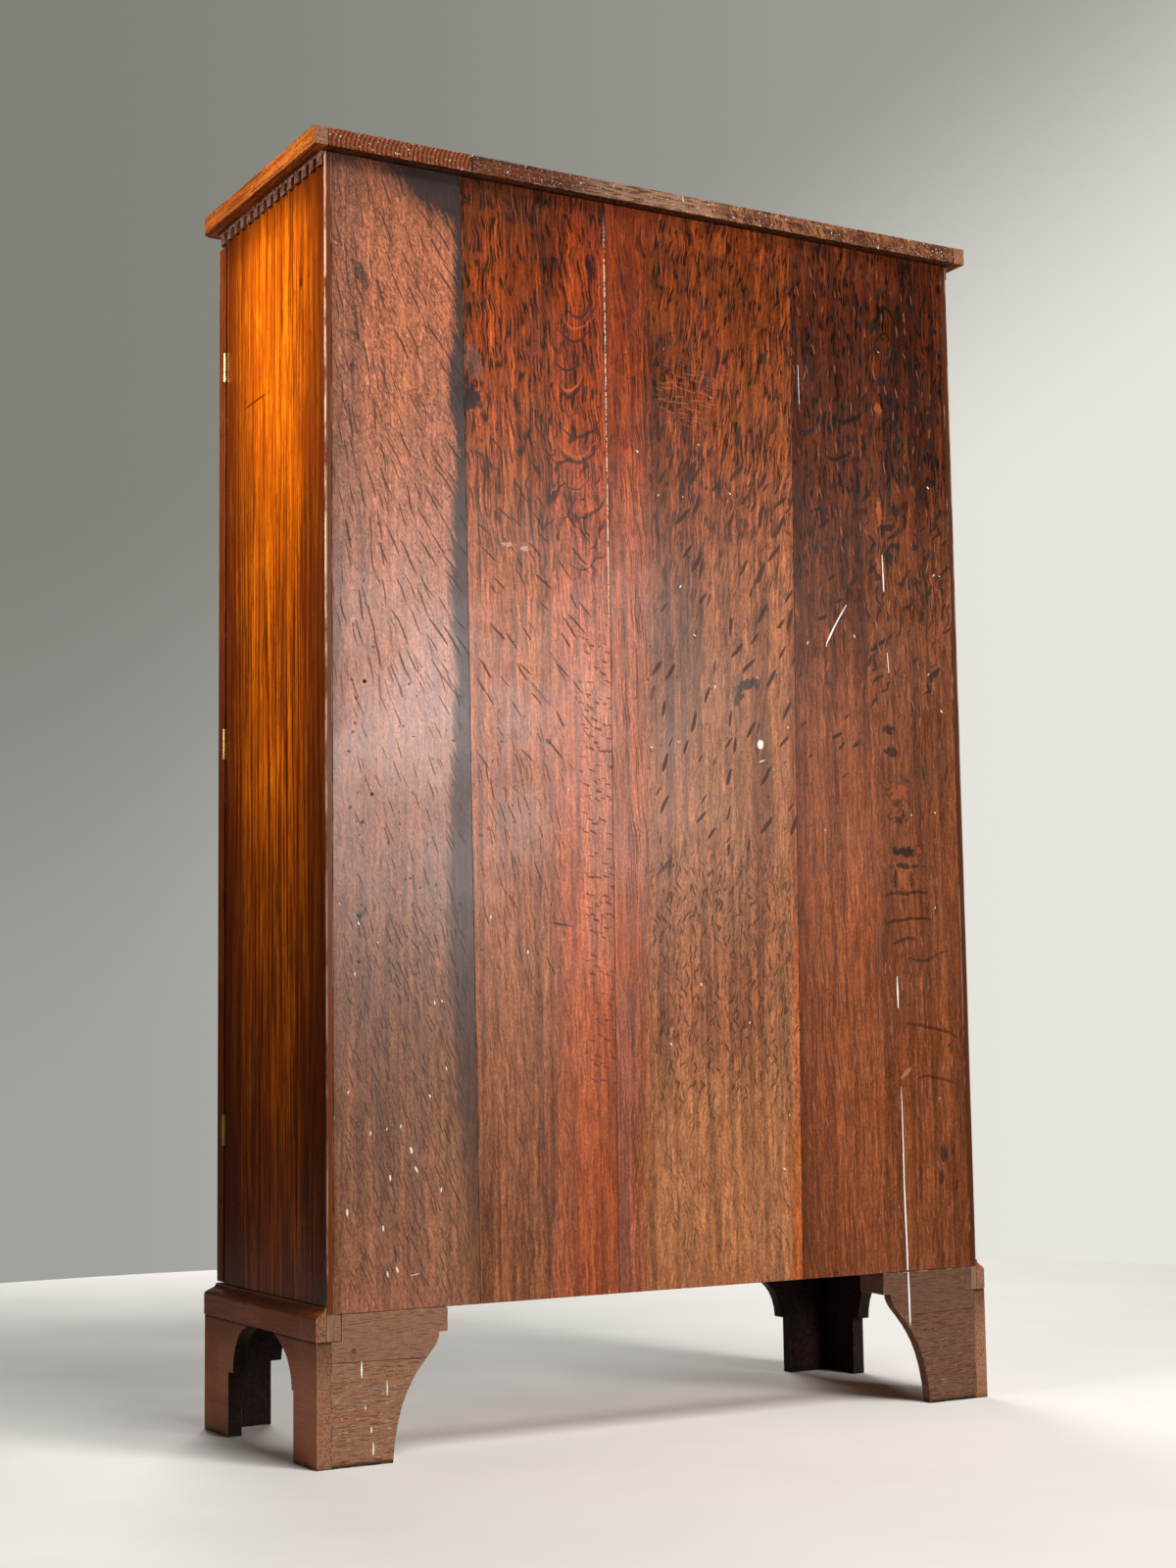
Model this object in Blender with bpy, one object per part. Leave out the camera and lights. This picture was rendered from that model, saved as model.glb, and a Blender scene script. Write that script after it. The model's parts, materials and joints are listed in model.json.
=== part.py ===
"""Display cabinet on bracket feet: mahogany case, oak back, a pair of glazed doors with lock and key.

Metres, +Z up, floor at Z = 0. The doors face -Y, the back boards face +Y, and right and left are
those of someone who stands in front of the doors, so right is +X. Depths are counted from the rear
face of the case towards the doors. The whole cabinet hangs on one empty, which puts the middle of
its footprint at the world's origin.
"""
import math

import bmesh
import bpy
from mathutils import Matrix

# Gap between pieces that touch
FIT = 0.0003

# Top: an oak board with mahogany lipping at the front and at both ends
HEIGHT = 1.750
TOP_WIDTH = 1.092
TOP_THICKNESS = 0.025
TOP_SIDE_OVERHANG = 0.0227
TOP_FRONT_OVERHANG = 0.010
TOP_REAR_OVERHANG = 0.019
LIPPING_WIDTH = 0.020
TOP_CORNER_RADIUS = 0.012
TOP_CORNER_STEPS = 3

# Case: sides with a rebate for the back boards, a bottom board and fixed shelves in housings
SIDE_THICKNESS = 0.020
SIDE_DEPTH = 0.358
BACK_THICKNESS = 0.012
BACK_TONGUE = 0.010
BACK_RISE = 0.0339
BACK_JOINT_GAP = 0.0006
BACK_JOINTS = ((0.320, 0.304), (0.090, 0.092), (-0.230, -0.211))
BOTTOM_THICKNESS = 0.016
SHELF_COUNT = 3
SHELF_THICKNESS = 0.018
SHELF_SETBACK = 0.0157
HOUSING_DEPTH = 0.006

# Frieze under the top, with a row of dentils on three sides
FRIEZE_HEIGHT = 0.0193
FRIEZE_THICKNESS = 0.0152
DENTIL_THICKNESS = 0.0045
DENTIL_WIDTH = 0.0135
DENTIL_PITCH = 0.0253
DENTIL_BAND = 0.005
DENTIL_END = 0.0008

# Base moulding: an upright fascia with an ogee above it, on three sides
BASE_PROJECTION = 0.0152
BASE_FRONT_STEP = 0.010
FOOT_HEIGHT = 0.1576
FASCIA_HEIGHT = 0.0268
OGEE_HEIGHT = 0.0172
OGEE_TOP_LEDGE = 0.0025
OGEE_SWELL = 0.0022
OGEE_STEPS = 10

# Bracket feet in front and at the sides: a leg, a small step and a swept curve up to the fascia
BRACKET_THICKNESS = 0.020
BRACKET_SETBACK = 0.001
BRACKET_STEPS = 8
FRONT_LEG_WIDTH = 0.092
FRONT_STEP = 0.016
FRONT_SWEEP = 0.066
FRONT_SWEEP_RISE = 0.0696
FRONT_SWEEP_BEND = (0.003, 0.0076)
REAR_LEG_WIDTH = 0.077
REAR_STEP = 0.006
REAR_SWEEP = 0.064
REAR_SWEEP_RISE = 0.0676
REAR_SWEEP_BEND = (0.000, 0.0226)

# Rear brackets of oak with a notched head and an ogee, and the corner blocks behind them
REAR_BRACKET_THICKNESS = 0.017
REAR_BRACKET_LENGTH = 0.165
REAR_HEAD_HEIGHT = 0.031
REAR_HEAD_STEP = 0.012
REAR_FOOT_WIDTH = 0.086
REAR_OGEE_STEPS = 12
REAR_OGEE_PULL = 0.032
REAR_OGEE_BEND = (0.008, 0.0382)
BLOCK_DEPTH = 0.043
BLOCK_SETBACK = 0.002

# Doors: mortised frames, one sheet of glass each, glazing bars in front of the glass
DOOR_THICKNESS = 0.024
DOOR_CLEARANCE = 0.002
MEETING_GAP = 0.0015
STILE_WIDTH = 0.050
TOP_RAIL_WIDTH = 0.055
BOTTOM_RAIL_WIDTH = 0.075
TENON_LENGTH = 0.030
TENON_THICKNESS = 0.008
TENON_SHOULDER = 0.012
GLASS_THICKNESS = 0.003
GLASS_SETBACK = 0.011
GLASS_GROOVE = 0.008
BAR_WIDTH = 0.016
BAR_SETBACK = 0.001
PANE_ROWS = 4

# Butt hinges, planted on the front edge of the side and on the rear face of the door
HINGE_BOTTOM_INSET = 0.2119
HINGE_TOP_INSET = 0.1847
HINGE_MIDDLE_DROP = 0.00325
HINGE_LENGTH = 0.044
LEAF_WIDTH = 0.019
LEAF_THICKNESS = 0.0025
LEAF_GAP = 0.0024
HINGE_AXIS_OUT = 0.0005
HINGE_CLEARANCE = 0.0004
KNUCKLES = 5
PIN_RADIUS = 0.0015
PIN_CLEARANCE = 0.00015
ROUND_SEGMENTS = 16

# Lock in the right door, its bolt, key and escutcheon
LOCK_HEIGHT = 0.950
LOCK_WIDTH = 0.035
LOCK_LENGTH = 0.060
LOCK_DEPTH = 0.012
BOLT_LENGTH = 0.026
BOLT_HEIGHT = 0.012
BOLT_THICKNESS = 0.006
BOLT_RISE = 0.012
BOLT_THROW = 0.010
KEY_INSET = 0.022
KEY_DROP = 0.010
KEY_RADIUS = 0.0025
KEY_CLEARANCE = 0.0006
KEY_BOW_RADIUS = 0.0105
KEY_BOW_WIRE = 0.0020
KEY_BOW_SEGMENTS = 24
KEY_WIRE_SEGMENTS = 8
KEY_BOW_STANDOFF = 0.022
KEY_COLLAR_RADIUS = 0.0042
KEY_COLLAR_LENGTH = 0.003
BIT_REACH = 0.0095
BIT_LENGTH = 0.006
BIT_THICKNESS = 0.0024
CHAMBER_WALL = 0.0035
ESCUTCHEON_WIDTH = 0.020
ESCUTCHEON_HEIGHT = 0.034
ESCUTCHEON_THICKNESS = 0.0012

# Sliding bolt let into the left door, which shoots up into the frieze rail
DOOR_BOLT_LENGTH = 0.100
DOOR_BOLT_THROW = 0.010
DOOR_BOLT_WIDTH = 0.014
DOOR_BOLT_NECK = 0.008
DOOR_BOLT_THICKNESS = 0.002
BOLT_KNOB_RADIUS = 0.004
BOLT_KNOB_LENGTH = 0.009
BOLT_KNOB_DROP = 0.060

# Sizes that follow from the ones above
MITRE_GAP = 1.5 * FIT
CASE_HALF = TOP_WIDTH / 2 - TOP_SIDE_OVERHANG
BASE_HALF = CASE_HALF + BASE_PROJECTION
SIDE_INNER = CASE_HALF - SIDE_THICKNESS
TOP_UNDERSIDE = HEIGHT - TOP_THICKNESS
FRIEZE_BOTTOM = TOP_UNDERSIDE - FRIEZE_HEIGHT
FRIEZE_FRONT = SIDE_DEPTH + FIT + FRIEZE_THICKNESS
BASE_TOP = FOOT_HEIGHT + FASCIA_HEIGHT + OGEE_HEIGHT
BACK_BOTTOM = FOOT_HEIGHT + BACK_RISE
BOTTOM_TOP = BACK_BOTTOM + BOTTOM_THICKNESS
SHELF_FRONT = SIDE_DEPTH - SHELF_SETBACK
DOOR_GAP = 2 * (LEAF_THICKNESS + FIT) + LEAF_GAP
DOOR_REAR = SIDE_DEPTH + DOOR_GAP
DOOR_FRONT = DOOR_REAR + DOOR_THICKNESS
DOOR_BOTTOM = BASE_TOP + DOOR_CLEARANCE
DOOR_TOP = FRIEZE_BOTTOM - DOOR_CLEARANCE
TOP_FRONT = DOOR_FRONT + TOP_FRONT_OVERHANG
BASE_FRONT = DOOR_FRONT + BASE_FRONT_STEP
BRACKET_OUT = BASE_HALF - BRACKET_SETBACK
BRACKET_FRONT = BASE_FRONT - BRACKET_SETBACK
GLASS_FRONT = DOOR_FRONT - GLASS_SETBACK
KNUCKLE_RADIUS = LEAF_THICKNESS + LEAF_GAP / 2
HINGE_X = CASE_HALF + HINGE_AXIS_OUT
HINGE_DEPTH = SIDE_DEPTH + DOOR_GAP / 2
HINGE_LOW = DOOR_BOTTOM + HINGE_BOTTOM_INSET
HINGE_HIGH = DOOR_TOP - HINGE_TOP_INSET
HINGE_MIDDLE = (HINGE_LOW + HINGE_HIGH) / 2 - HINGE_MIDDLE_DROP
LOCK_FRONT = DOOR_REAR + LOCK_DEPTH
KEY_Z = LOCK_HEIGHT - KEY_DROP
KEYHOLE_RADIUS = KEY_RADIUS + KEY_CLEARANCE
KEY_REACH = KEY_BOW_STANDOFF + KEY_BOW_RADIUS + KEY_BOW_WIRE
FRONT_MOST = max(DOOR_FRONT + KEY_REACH, TOP_FRONT, BASE_FRONT)
FOOTPRINT_SHIFT = (FRONT_MOST - TOP_REAR_OVERHANG) / 2

# Overrun of a cutter past the face that it opens
PAST = 0.002

# Steepest turn, in degrees, that is still shaded as one round surface
ROUND_TURN = 35.0

AXIS_TURNS = {
    "X": Matrix(((0, 0, 1), (1, 0, 0), (0, 1, 0))),
    "Y": Matrix(((1, 0, 0), (0, 0, -1), (0, 1, 0))),
    "Z": Matrix.Identity(3),
}


def clear_scene():
    """Empties the scene and makes the two collections."""
    for old in list(bpy.data.objects):
        bpy.data.objects.remove(old, do_unlink=True)
    for name in ("display_cabinet", "cutters"):
        bpy.context.scene.collection.children.link(bpy.data.collections.new(name))


def principled(name, colour, roughness, metallic=0.0, transmission=0.0):
    """A plain material for one kind of stuff."""
    made = bpy.data.materials.new(name)
    made.use_nodes = True
    shader = made.node_tree.nodes["Principled BSDF"]
    shader.inputs["Base Color"].default_value = (*colour, 1.0)
    shader.inputs["Roughness"].default_value = roughness
    shader.inputs["Metallic"].default_value = metallic
    shader.inputs["Transmission Weight"].default_value = transmission
    made.diffuse_color = (*colour, 1.0)
    return made


def empty(name, location, parent=None):
    """An empty that carries pieces; its location is counted in its parent."""
    made = bpy.data.objects.new(name, None)
    bpy.data.collections["display_cabinet"].objects.link(made)
    made.location = location
    made.parent = parent
    return made


def keep(piece, stuff, carrier):
    """Puts a piece in the cabinet's collection, gives it its material and hangs it on a carrier."""
    bpy.data.collections["display_cabinet"].objects.link(piece)
    piece.data.materials.clear()
    piece.data.materials.append(MATERIALS[stuff])
    if carrier is not CABINET:
        piece.location = piece.location - carrier.location
    piece.parent = carrier
    return piece


def tool(piece):
    """Keeps a piece only as a shape to cut or join with, in the cabinet's own coordinates."""
    bpy.data.collections["cutters"].objects.link(piece)
    piece.parent = CABINET
    piece.hide_render = True
    piece.display_type = "WIRE"
    return piece


def shape(piece, operation, *others):
    """Cuts other shapes from a piece, or joins them to it."""
    for other in others:
        change = piece.modifiers.new(other.name, "BOOLEAN")
        change.operation = operation
        change.solver = "EXACT"
        change.object = tool(other)
    return piece


def object_from_bmesh(name, built, location):
    """Turns a finished bmesh into an object."""
    mesh = bpy.data.meshes.new(name)
    built.to_mesh(mesh)
    built.free()
    made = bpy.data.objects.new(name, mesh)
    made.location = location
    return made


def box(name, xs, depths, zs):
    """A box between two X values, two depths from the rear of the case and two heights."""
    low_y, high_y = -max(depths), -min(depths)
    size = (max(xs) - min(xs), high_y - low_y, max(zs) - min(zs))
    built = bmesh.new()
    bmesh.ops.create_cube(built, size=1.0, matrix=Matrix.Diagonal((*size, 1.0)))
    return object_from_bmesh(name, built, (sum(xs) / 2, (low_y + high_y) / 2, sum(zs) / 2))


def rod(name, radius, length, axis, location):
    """A round bar about one axis, centred on a point."""
    built = bmesh.new()
    bmesh.ops.create_cone(built, cap_ends=True, segments=ROUND_SEGMENTS, radius1=radius,
                          radius2=radius, depth=length, matrix=AXIS_TURNS[axis].to_4x4())
    return object_from_bmesh(name, built, location)


def extrusion(name, outline, axis, start, end, holes=()):
    """A flat outline, with any holes, drawn out along an axis.

    The outline is in (Y, Z) for X, in (X, Z) for Y and in (X, Y) for Z.
    """
    curve = bpy.data.curves.new(name, "CURVE")
    curve.dimensions = "2D"
    curve.fill_mode = "BOTH"
    curve.extrude = abs(end - start) / 2
    for ring in (outline, *holes):
        spline = curve.splines.new("POLY")
        spline.points.add(len(ring) - 1)
        for point, (across, up) in zip(spline.points, ring):
            point.co = (across, up, 0.0, 1.0)
        spline.use_cyclic_u = True
    flat = bpy.data.objects.new(name + "_outline", curve)
    bpy.context.scene.collection.objects.link(flat)
    seen = flat.evaluated_get(bpy.context.evaluated_depsgraph_get())
    built = bmesh.new()
    built.from_mesh(bpy.data.meshes.new_from_object(seen))
    bpy.data.objects.remove(flat, do_unlink=True)
    bmesh.ops.remove_doubles(built, verts=built.verts, dist=0.000001)
    bmesh.ops.recalc_face_normals(built, faces=built.faces)
    bmesh.ops.transform(built, matrix=AXIS_TURNS[axis].to_4x4(), verts=built.verts)
    middle = (start + end) / 2
    return object_from_bmesh(name, built, [middle if axis == letter else 0.0 for letter in "XYZ"])


def settled(piece):
    """The mesh of a piece with its modifiers worked in, for pieces that share it."""
    bpy.context.scene.collection.objects.link(piece)
    bpy.context.view_layer.update()
    seen = piece.evaluated_get(bpy.context.evaluated_depsgraph_get())
    mesh = bpy.data.meshes.new_from_object(seen)
    mesh.transform(piece.matrix_world)
    bpy.data.objects.remove(piece, do_unlink=True)
    return mesh


def round_shading(piece):
    """Smooth shading on curved faces, with sharp edges left sharp."""
    piece.data.shade_smooth()
    piece.data.set_sharp_from_angle(angle=math.radians(ROUND_TURN))
    return piece


def arc(centre, radius, first, last, steps):
    """Points on an arc between two angles in degrees."""
    turns = [math.radians(first + (last - first) * i / steps) for i in range(steps + 1)]
    return [(centre[0] + radius * math.cos(a), centre[1] + radius * math.sin(a)) for a in turns]


def bezier(points, steps):
    """Points on a Bezier curve of any degree."""
    degree = len(points) - 1
    made = []
    for i in range(steps + 1):
        t = i / steps
        weights = [math.comb(degree, k) * t ** k * (1 - t) ** (degree - k) for k in range(degree + 1)]
        made.append(tuple(sum(w * p[j] for w, p in zip(weights, points)) for j in (0, 1)))
    return made


def mirrored(points, sign):
    """An outline kept for the right side, or turned over for the left one."""
    return [(sign * across, along) for across, along in points]


def side_name(sign):
    """Right is +X and left is -X."""
    return "right" if sign > 0 else "left"


def make_top():
    """The oak top and its three lippings, mitred at the front corners."""
    half = TOP_WIDTH / 2
    inner = half - LIPPING_WIDTH
    mitre_end = (inner, -TOP_FRONT + LIPPING_WIDTH)
    zs = (TOP_UNDERSIDE, HEIGHT)
    core = (-TOP_REAR_OVERHANG, TOP_FRONT - LIPPING_WIDTH - FIT)
    keep(box("top_board", (-inner + FIT, inner - FIT), core, zs), "oak", CABINET)
    centre = (half - TOP_CORNER_RADIUS, -TOP_FRONT + TOP_CORNER_RADIUS)
    half_front = [mitre_end, *arc(centre, TOP_CORNER_RADIUS, -45, -90, TOP_CORNER_STEPS)]
    outline = half_front + mirrored(half_front[::-1], -1)
    keep(extrusion("top_lipping_front", outline, "Z", *zs), "mahogany", CABINET)
    side_turn = arc(centre, TOP_CORNER_RADIUS, 0, -45, TOP_CORNER_STEPS)
    run = [(inner, TOP_REAR_OVERHANG), (half, TOP_REAR_OVERHANG)]
    run += [(x, y + MITRE_GAP) for x, y in (*side_turn, mitre_end)]
    for sign in (1, -1):
        name = "top_lipping_" + side_name(sign)
        keep(extrusion(name, mirrored(run, sign), "Z", *zs), "mahogany", CABINET)


def shelf_heights():
    """Undersides of the shelves, evenly spaced between the bottom board and the top."""
    clear = TOP_UNDERSIDE - BOTTOM_TOP - SHELF_COUNT * SHELF_THICKNESS
    bay = clear / (SHELF_COUNT + 1)
    return [BOTTOM_TOP + bay + i * (bay + SHELF_THICKNESS) for i in range(SHELF_COUNT)]


def make_case():
    """Sides, bottom board, shelves and the four back boards."""
    rear = BACK_THICKNESS + FIT
    tongue = CASE_HALF - BACK_TONGUE
    board_ends = SIDE_INNER + HOUSING_DEPTH
    bottom_zs = (BACK_BOTTOM, BOTTOM_TOP)
    keep(box("bottom_board", (-board_ends, board_ends), (rear, SIDE_DEPTH), bottom_zs), "oak", CABINET)
    shelf_zs = [(z, z + SHELF_THICKNESS) for z in shelf_heights()]
    for number, zs in enumerate(shelf_zs, 1):
        keep(box(f"shelf_{number}", (-board_ends, board_ends), (rear, SHELF_FRONT), zs), "oak", CABINET)
    plan = [(CASE_HALF, 0.0), (CASE_HALF, -SIDE_DEPTH), (SIDE_INNER, -SIDE_DEPTH),
            (SIDE_INNER, -rear), (tongue, -rear), (tongue, 0.0)]
    for sign in (1, -1):
        name = "side_panel_" + side_name(sign)
        side = extrusion(name, mirrored(plan, sign), "Z", FOOT_HEIGHT + FIT, TOP_UNDERSIDE - FIT)
        slot = (sign * (SIDE_INNER - PAST), sign * (board_ends + FIT))
        housings = [box(name + "_bottom_housing", slot, (rear - PAST, SIDE_DEPTH + PAST),
                        (bottom_zs[0] - FIT, bottom_zs[1] + FIT))]
        for number, (low, high) in enumerate(shelf_zs, 1):
            housings.append(box(f"{name}_shelf_housing_{number}", slot,
                                (rear - PAST, SHELF_FRONT + FIT), (low - FIT, high + FIT)))
        keep(shape(side, "DIFFERENCE", *housings), "mahogany", CABINET)
    outer = tongue - FIT
    edges = [(outer, outer), *BACK_JOINTS, (-outer, -outer)]
    zs = (BACK_BOTTOM, TOP_UNDERSIDE - FIT)
    gaps = [0.0] + [BACK_JOINT_GAP / 2] * len(BACK_JOINTS) + [0.0]
    for number, (here, there) in enumerate(zip(edges, edges[1:]), 1):
        high, low = gaps[number - 1], gaps[number]
        outline = [(here[0] - high, zs[1]), (here[1] - high, zs[0]),
                   (there[1] + low, zs[0]), (there[0] + low, zs[1])]
        keep(extrusion(f"back_board_{number}", outline, "Y", -BACK_THICKNESS, 0.0), "oak", CABINET)


def dentil_outline(start, end):
    """A band with teeth under it, as many as the pitch allows, centred in its run."""
    count = int((end - start - DENTIL_WIDTH) / DENTIL_PITCH) + 1
    first = (start + end - (count - 1) * DENTIL_PITCH - DENTIL_WIDTH) / 2
    band = TOP_UNDERSIDE - FIT - DENTIL_BAND
    outline = [(start, TOP_UNDERSIDE - FIT), (start, band)]
    for i in range(count):
        left = first + i * DENTIL_PITCH
        right = left + DENTIL_WIDTH
        outline += [(left, band), (left, FRIEZE_BOTTOM), (right, FRIEZE_BOTTOM), (right, band)]
    return outline + [(end, band), (end, TOP_UNDERSIDE - FIT)]


def make_frieze():
    """The rail over the doors and the dentils in front and at the sides."""
    zs = (FRIEZE_BOTTOM, TOP_UNDERSIDE - FIT)
    rail = box("frieze_rail", (-CASE_HALF, CASE_HALF), (SIDE_DEPTH + FIT, FRIEZE_FRONT), zs)
    socket = box("frieze_bolt_socket", door_bolt_xs(DOOR_BOLT_WIDTH + 4 * FIT),
                 (DOOR_REAR - FIT, DOOR_REAR + 2 * DOOR_BOLT_THICKNESS + 2 * FIT),
                 (FRIEZE_BOTTOM - PAST, DOOR_TOP + DOOR_BOLT_THROW + FIT))
    keep(shape(rail, "DIFFERENCE", socket), "mahogany", CABINET)
    inner = CASE_HALF + FIT
    outer = inner + DENTIL_THICKNESS
    front = FRIEZE_FRONT + FIT
    run = dentil_outline(-outer, outer)
    strip = extrusion("dentils_front", run, "Y", -front - DENTIL_THICKNESS, -front)
    keep(strip, "mahogany", CABINET)
    run = dentil_outline(-FRIEZE_FRONT, -DENTIL_END)
    for sign in (1, -1):
        strip = extrusion("dentils_" + side_name(sign), run, "X", sign * inner, sign * outer)
        keep(strip, "mahogany", CABINET)


def base_profile(inner):
    """Outline of the base moulding: offset out from the case, and height."""
    fascia_top = FOOT_HEIGHT + FASCIA_HEIGHT
    outline = [(inner, FOOT_HEIGHT + FIT), (BASE_PROJECTION, FOOT_HEIGHT + FIT)]
    for i in range(OGEE_STEPS + 1):
        t = i / OGEE_STEPS
        straight = BASE_PROJECTION + (OGEE_TOP_LEDGE - BASE_PROJECTION) * t
        swell = OGEE_SWELL * math.sin(2 * math.pi * t)
        outline.append((min(straight + swell, BASE_PROJECTION), fascia_top + OGEE_HEIGHT * t))
    return outline + [(inner, BASE_TOP)]


def make_base_moulding():
    """Front and side mouldings, mitred at the front corners."""
    case_front = BASE_FRONT - BASE_PROJECTION
    profile = [(-case_front - out, z) for out, z in base_profile(SIDE_DEPTH + FIT - case_front)]
    front = round_shading(extrusion("base_moulding_front", profile, "X", -BASE_HALF, BASE_HALF))
    corner = CASE_HALF - MITRE_GAP
    past_front = BASE_FRONT + PAST
    past_end = BASE_HALF + 2 * PAST
    mitre = [(corner, -SIDE_DEPTH + PAST), (corner, -case_front),
             (corner + past_front - case_front, -past_front), (past_end, -past_front),
             (past_end, -SIDE_DEPTH + PAST)]
    for sign in (1, -1):
        shape(front, "DIFFERENCE", extrusion("base_mitre_" + side_name(sign), mirrored(mitre, sign), "Z",
                                             FOOT_HEIGHT - PAST, BASE_TOP + PAST))
    keep(front, "mahogany", CABINET)
    for sign in (1, -1):
        profile = [(sign * (CASE_HALF + out), z) for out, z in base_profile(FIT)]
        run = extrusion("base_moulding_" + side_name(sign), profile, "Y", -case_front, 0.0)
        front_end = -case_front - run.location.y
        for corner in run.data.vertices:
            if corner.co.y < 0.0:
                corner.co.y = front_end - (abs(corner.co.x) - CASE_HALF)
        keep(round_shading(run), "mahogany", CABINET)


def bracket_curve(leg, step, sweep, rise, bend):
    """Inner edge of a bracket foot, as distance from its outer end and height, from the floor up."""
    foot = leg + step
    step_height = FOOT_HEIGHT - rise
    top = (foot + sweep, FOOT_HEIGHT)
    pull = (foot + bend[0], FOOT_HEIGHT - bend[1])
    curve = bezier([(foot, step_height), pull, top], BRACKET_STEPS)
    return [(leg, 0.0), (leg, step_height), *curve]


def make_front_feet():
    """Two mitred brackets at each front corner."""
    curve = bracket_curve(FRONT_LEG_WIDTH, FRONT_STEP, FRONT_SWEEP, FRONT_SWEEP_RISE, FRONT_SWEEP_BEND)
    for sign in (1, -1):
        across = [(BRACKET_OUT, FOOT_HEIGHT), (BRACKET_OUT, 0.0)]
        across += [(BRACKET_OUT - out, z) for out, z in curve]
        front = extrusion("front_bracket_" + side_name(sign), mirrored(across, sign), "Y",
                          -BRACKET_FRONT, -BRACKET_FRONT + BRACKET_THICKNESS)
        for corner in front.data.vertices:
            at_end = abs(corner.co.x) > BRACKET_OUT - FIT
            if at_end and corner.co.y > 0.0:
                corner.co.x -= sign * BRACKET_THICKNESS
        keep(round_shading(front), "mahogany", CABINET)
        mitre = -BRACKET_FRONT + MITRE_GAP
        along = [(mitre, FOOT_HEIGHT), (mitre, 0.0)]
        along += [(-BRACKET_FRONT + out, z) for out, z in curve]
        side = extrusion("side_front_bracket_" + side_name(sign), along, "X",
                         sign * (BRACKET_OUT - BRACKET_THICKNESS), sign * BRACKET_OUT)
        for corner in side.data.vertices:
            at_end = corner.co.y < mitre + FIT
            if at_end and sign * corner.co.x < 0.0:
                corner.co.y += BRACKET_THICKNESS
        keep(round_shading(side), "mahogany", CABINET)


def make_rear_feet():
    """Side brackets at the rear, the oak brackets between them, and the corner blocks."""
    curve = bracket_curve(REAR_LEG_WIDTH, REAR_STEP, REAR_SWEEP, REAR_SWEEP_RISE, REAR_SWEEP_BEND)
    along = [(0.0, FOOT_HEIGHT), (0.0, 0.0)] + [(-out, z) for out, z in curve]
    outer = BRACKET_OUT - BRACKET_THICKNESS - FIT
    inner = outer - REAR_BRACKET_LENGTH
    head_top = BACK_BOTTOM - FIT
    head_bottom = head_top - REAR_HEAD_HEIGHT
    neck = inner + REAR_HEAD_STEP
    foot = outer - REAR_FOOT_WIDTH
    bend = (foot - REAR_OGEE_BEND[0], head_bottom - REAR_OGEE_BEND[1])
    ogee = bezier([(neck, head_bottom), (neck, head_bottom - REAR_OGEE_PULL), bend, (foot, 0.0)],
                  REAR_OGEE_STEPS)
    under_side = SIDE_INNER - FIT
    outline = [(inner, head_bottom), *ogee, (outer, 0.0), (outer, FOOT_HEIGHT),
               (under_side, FOOT_HEIGHT), (under_side, head_top), (inner, head_top)]
    block_xs = (inner + BLOCK_SETBACK, under_side)
    block_depths = (REAR_BRACKET_THICKNESS + FIT, REAR_BRACKET_THICKNESS + FIT + BLOCK_DEPTH)
    for sign in (1, -1):
        side = side_name(sign)
        bracket = extrusion("side_rear_bracket_" + side, along, "X",
                            sign * (BRACKET_OUT - BRACKET_THICKNESS), sign * BRACKET_OUT)
        keep(round_shading(bracket), "mahogany", CABINET)
        rear = extrusion("rear_bracket_" + side, mirrored(outline, sign), "Y", -REAR_BRACKET_THICKNESS, 0.0)
        keep(round_shading(rear), "oak", CABINET)
        block = box("rear_block_" + side, mirrored_pair(block_xs, sign), block_depths, (head_bottom, head_top))
        keep(block, "oak", CABINET)


def mirrored_pair(xs, sign):
    """Two X values on the right side, or the same two on the left."""
    return tuple(sign * x for x in xs)


def door_edges():
    """X of a door's meeting edge and of its hinge edge, on the right side."""
    return MEETING_GAP / 2, CASE_HALF - FIT


def door_bolt_xs(width):
    """X range of a slot for the sliding bolt, in the middle of the left meeting stile."""
    middle = -(door_edges()[0] + STILE_WIDTH / 2)
    return middle - width / 2, middle + width / 2


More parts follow.
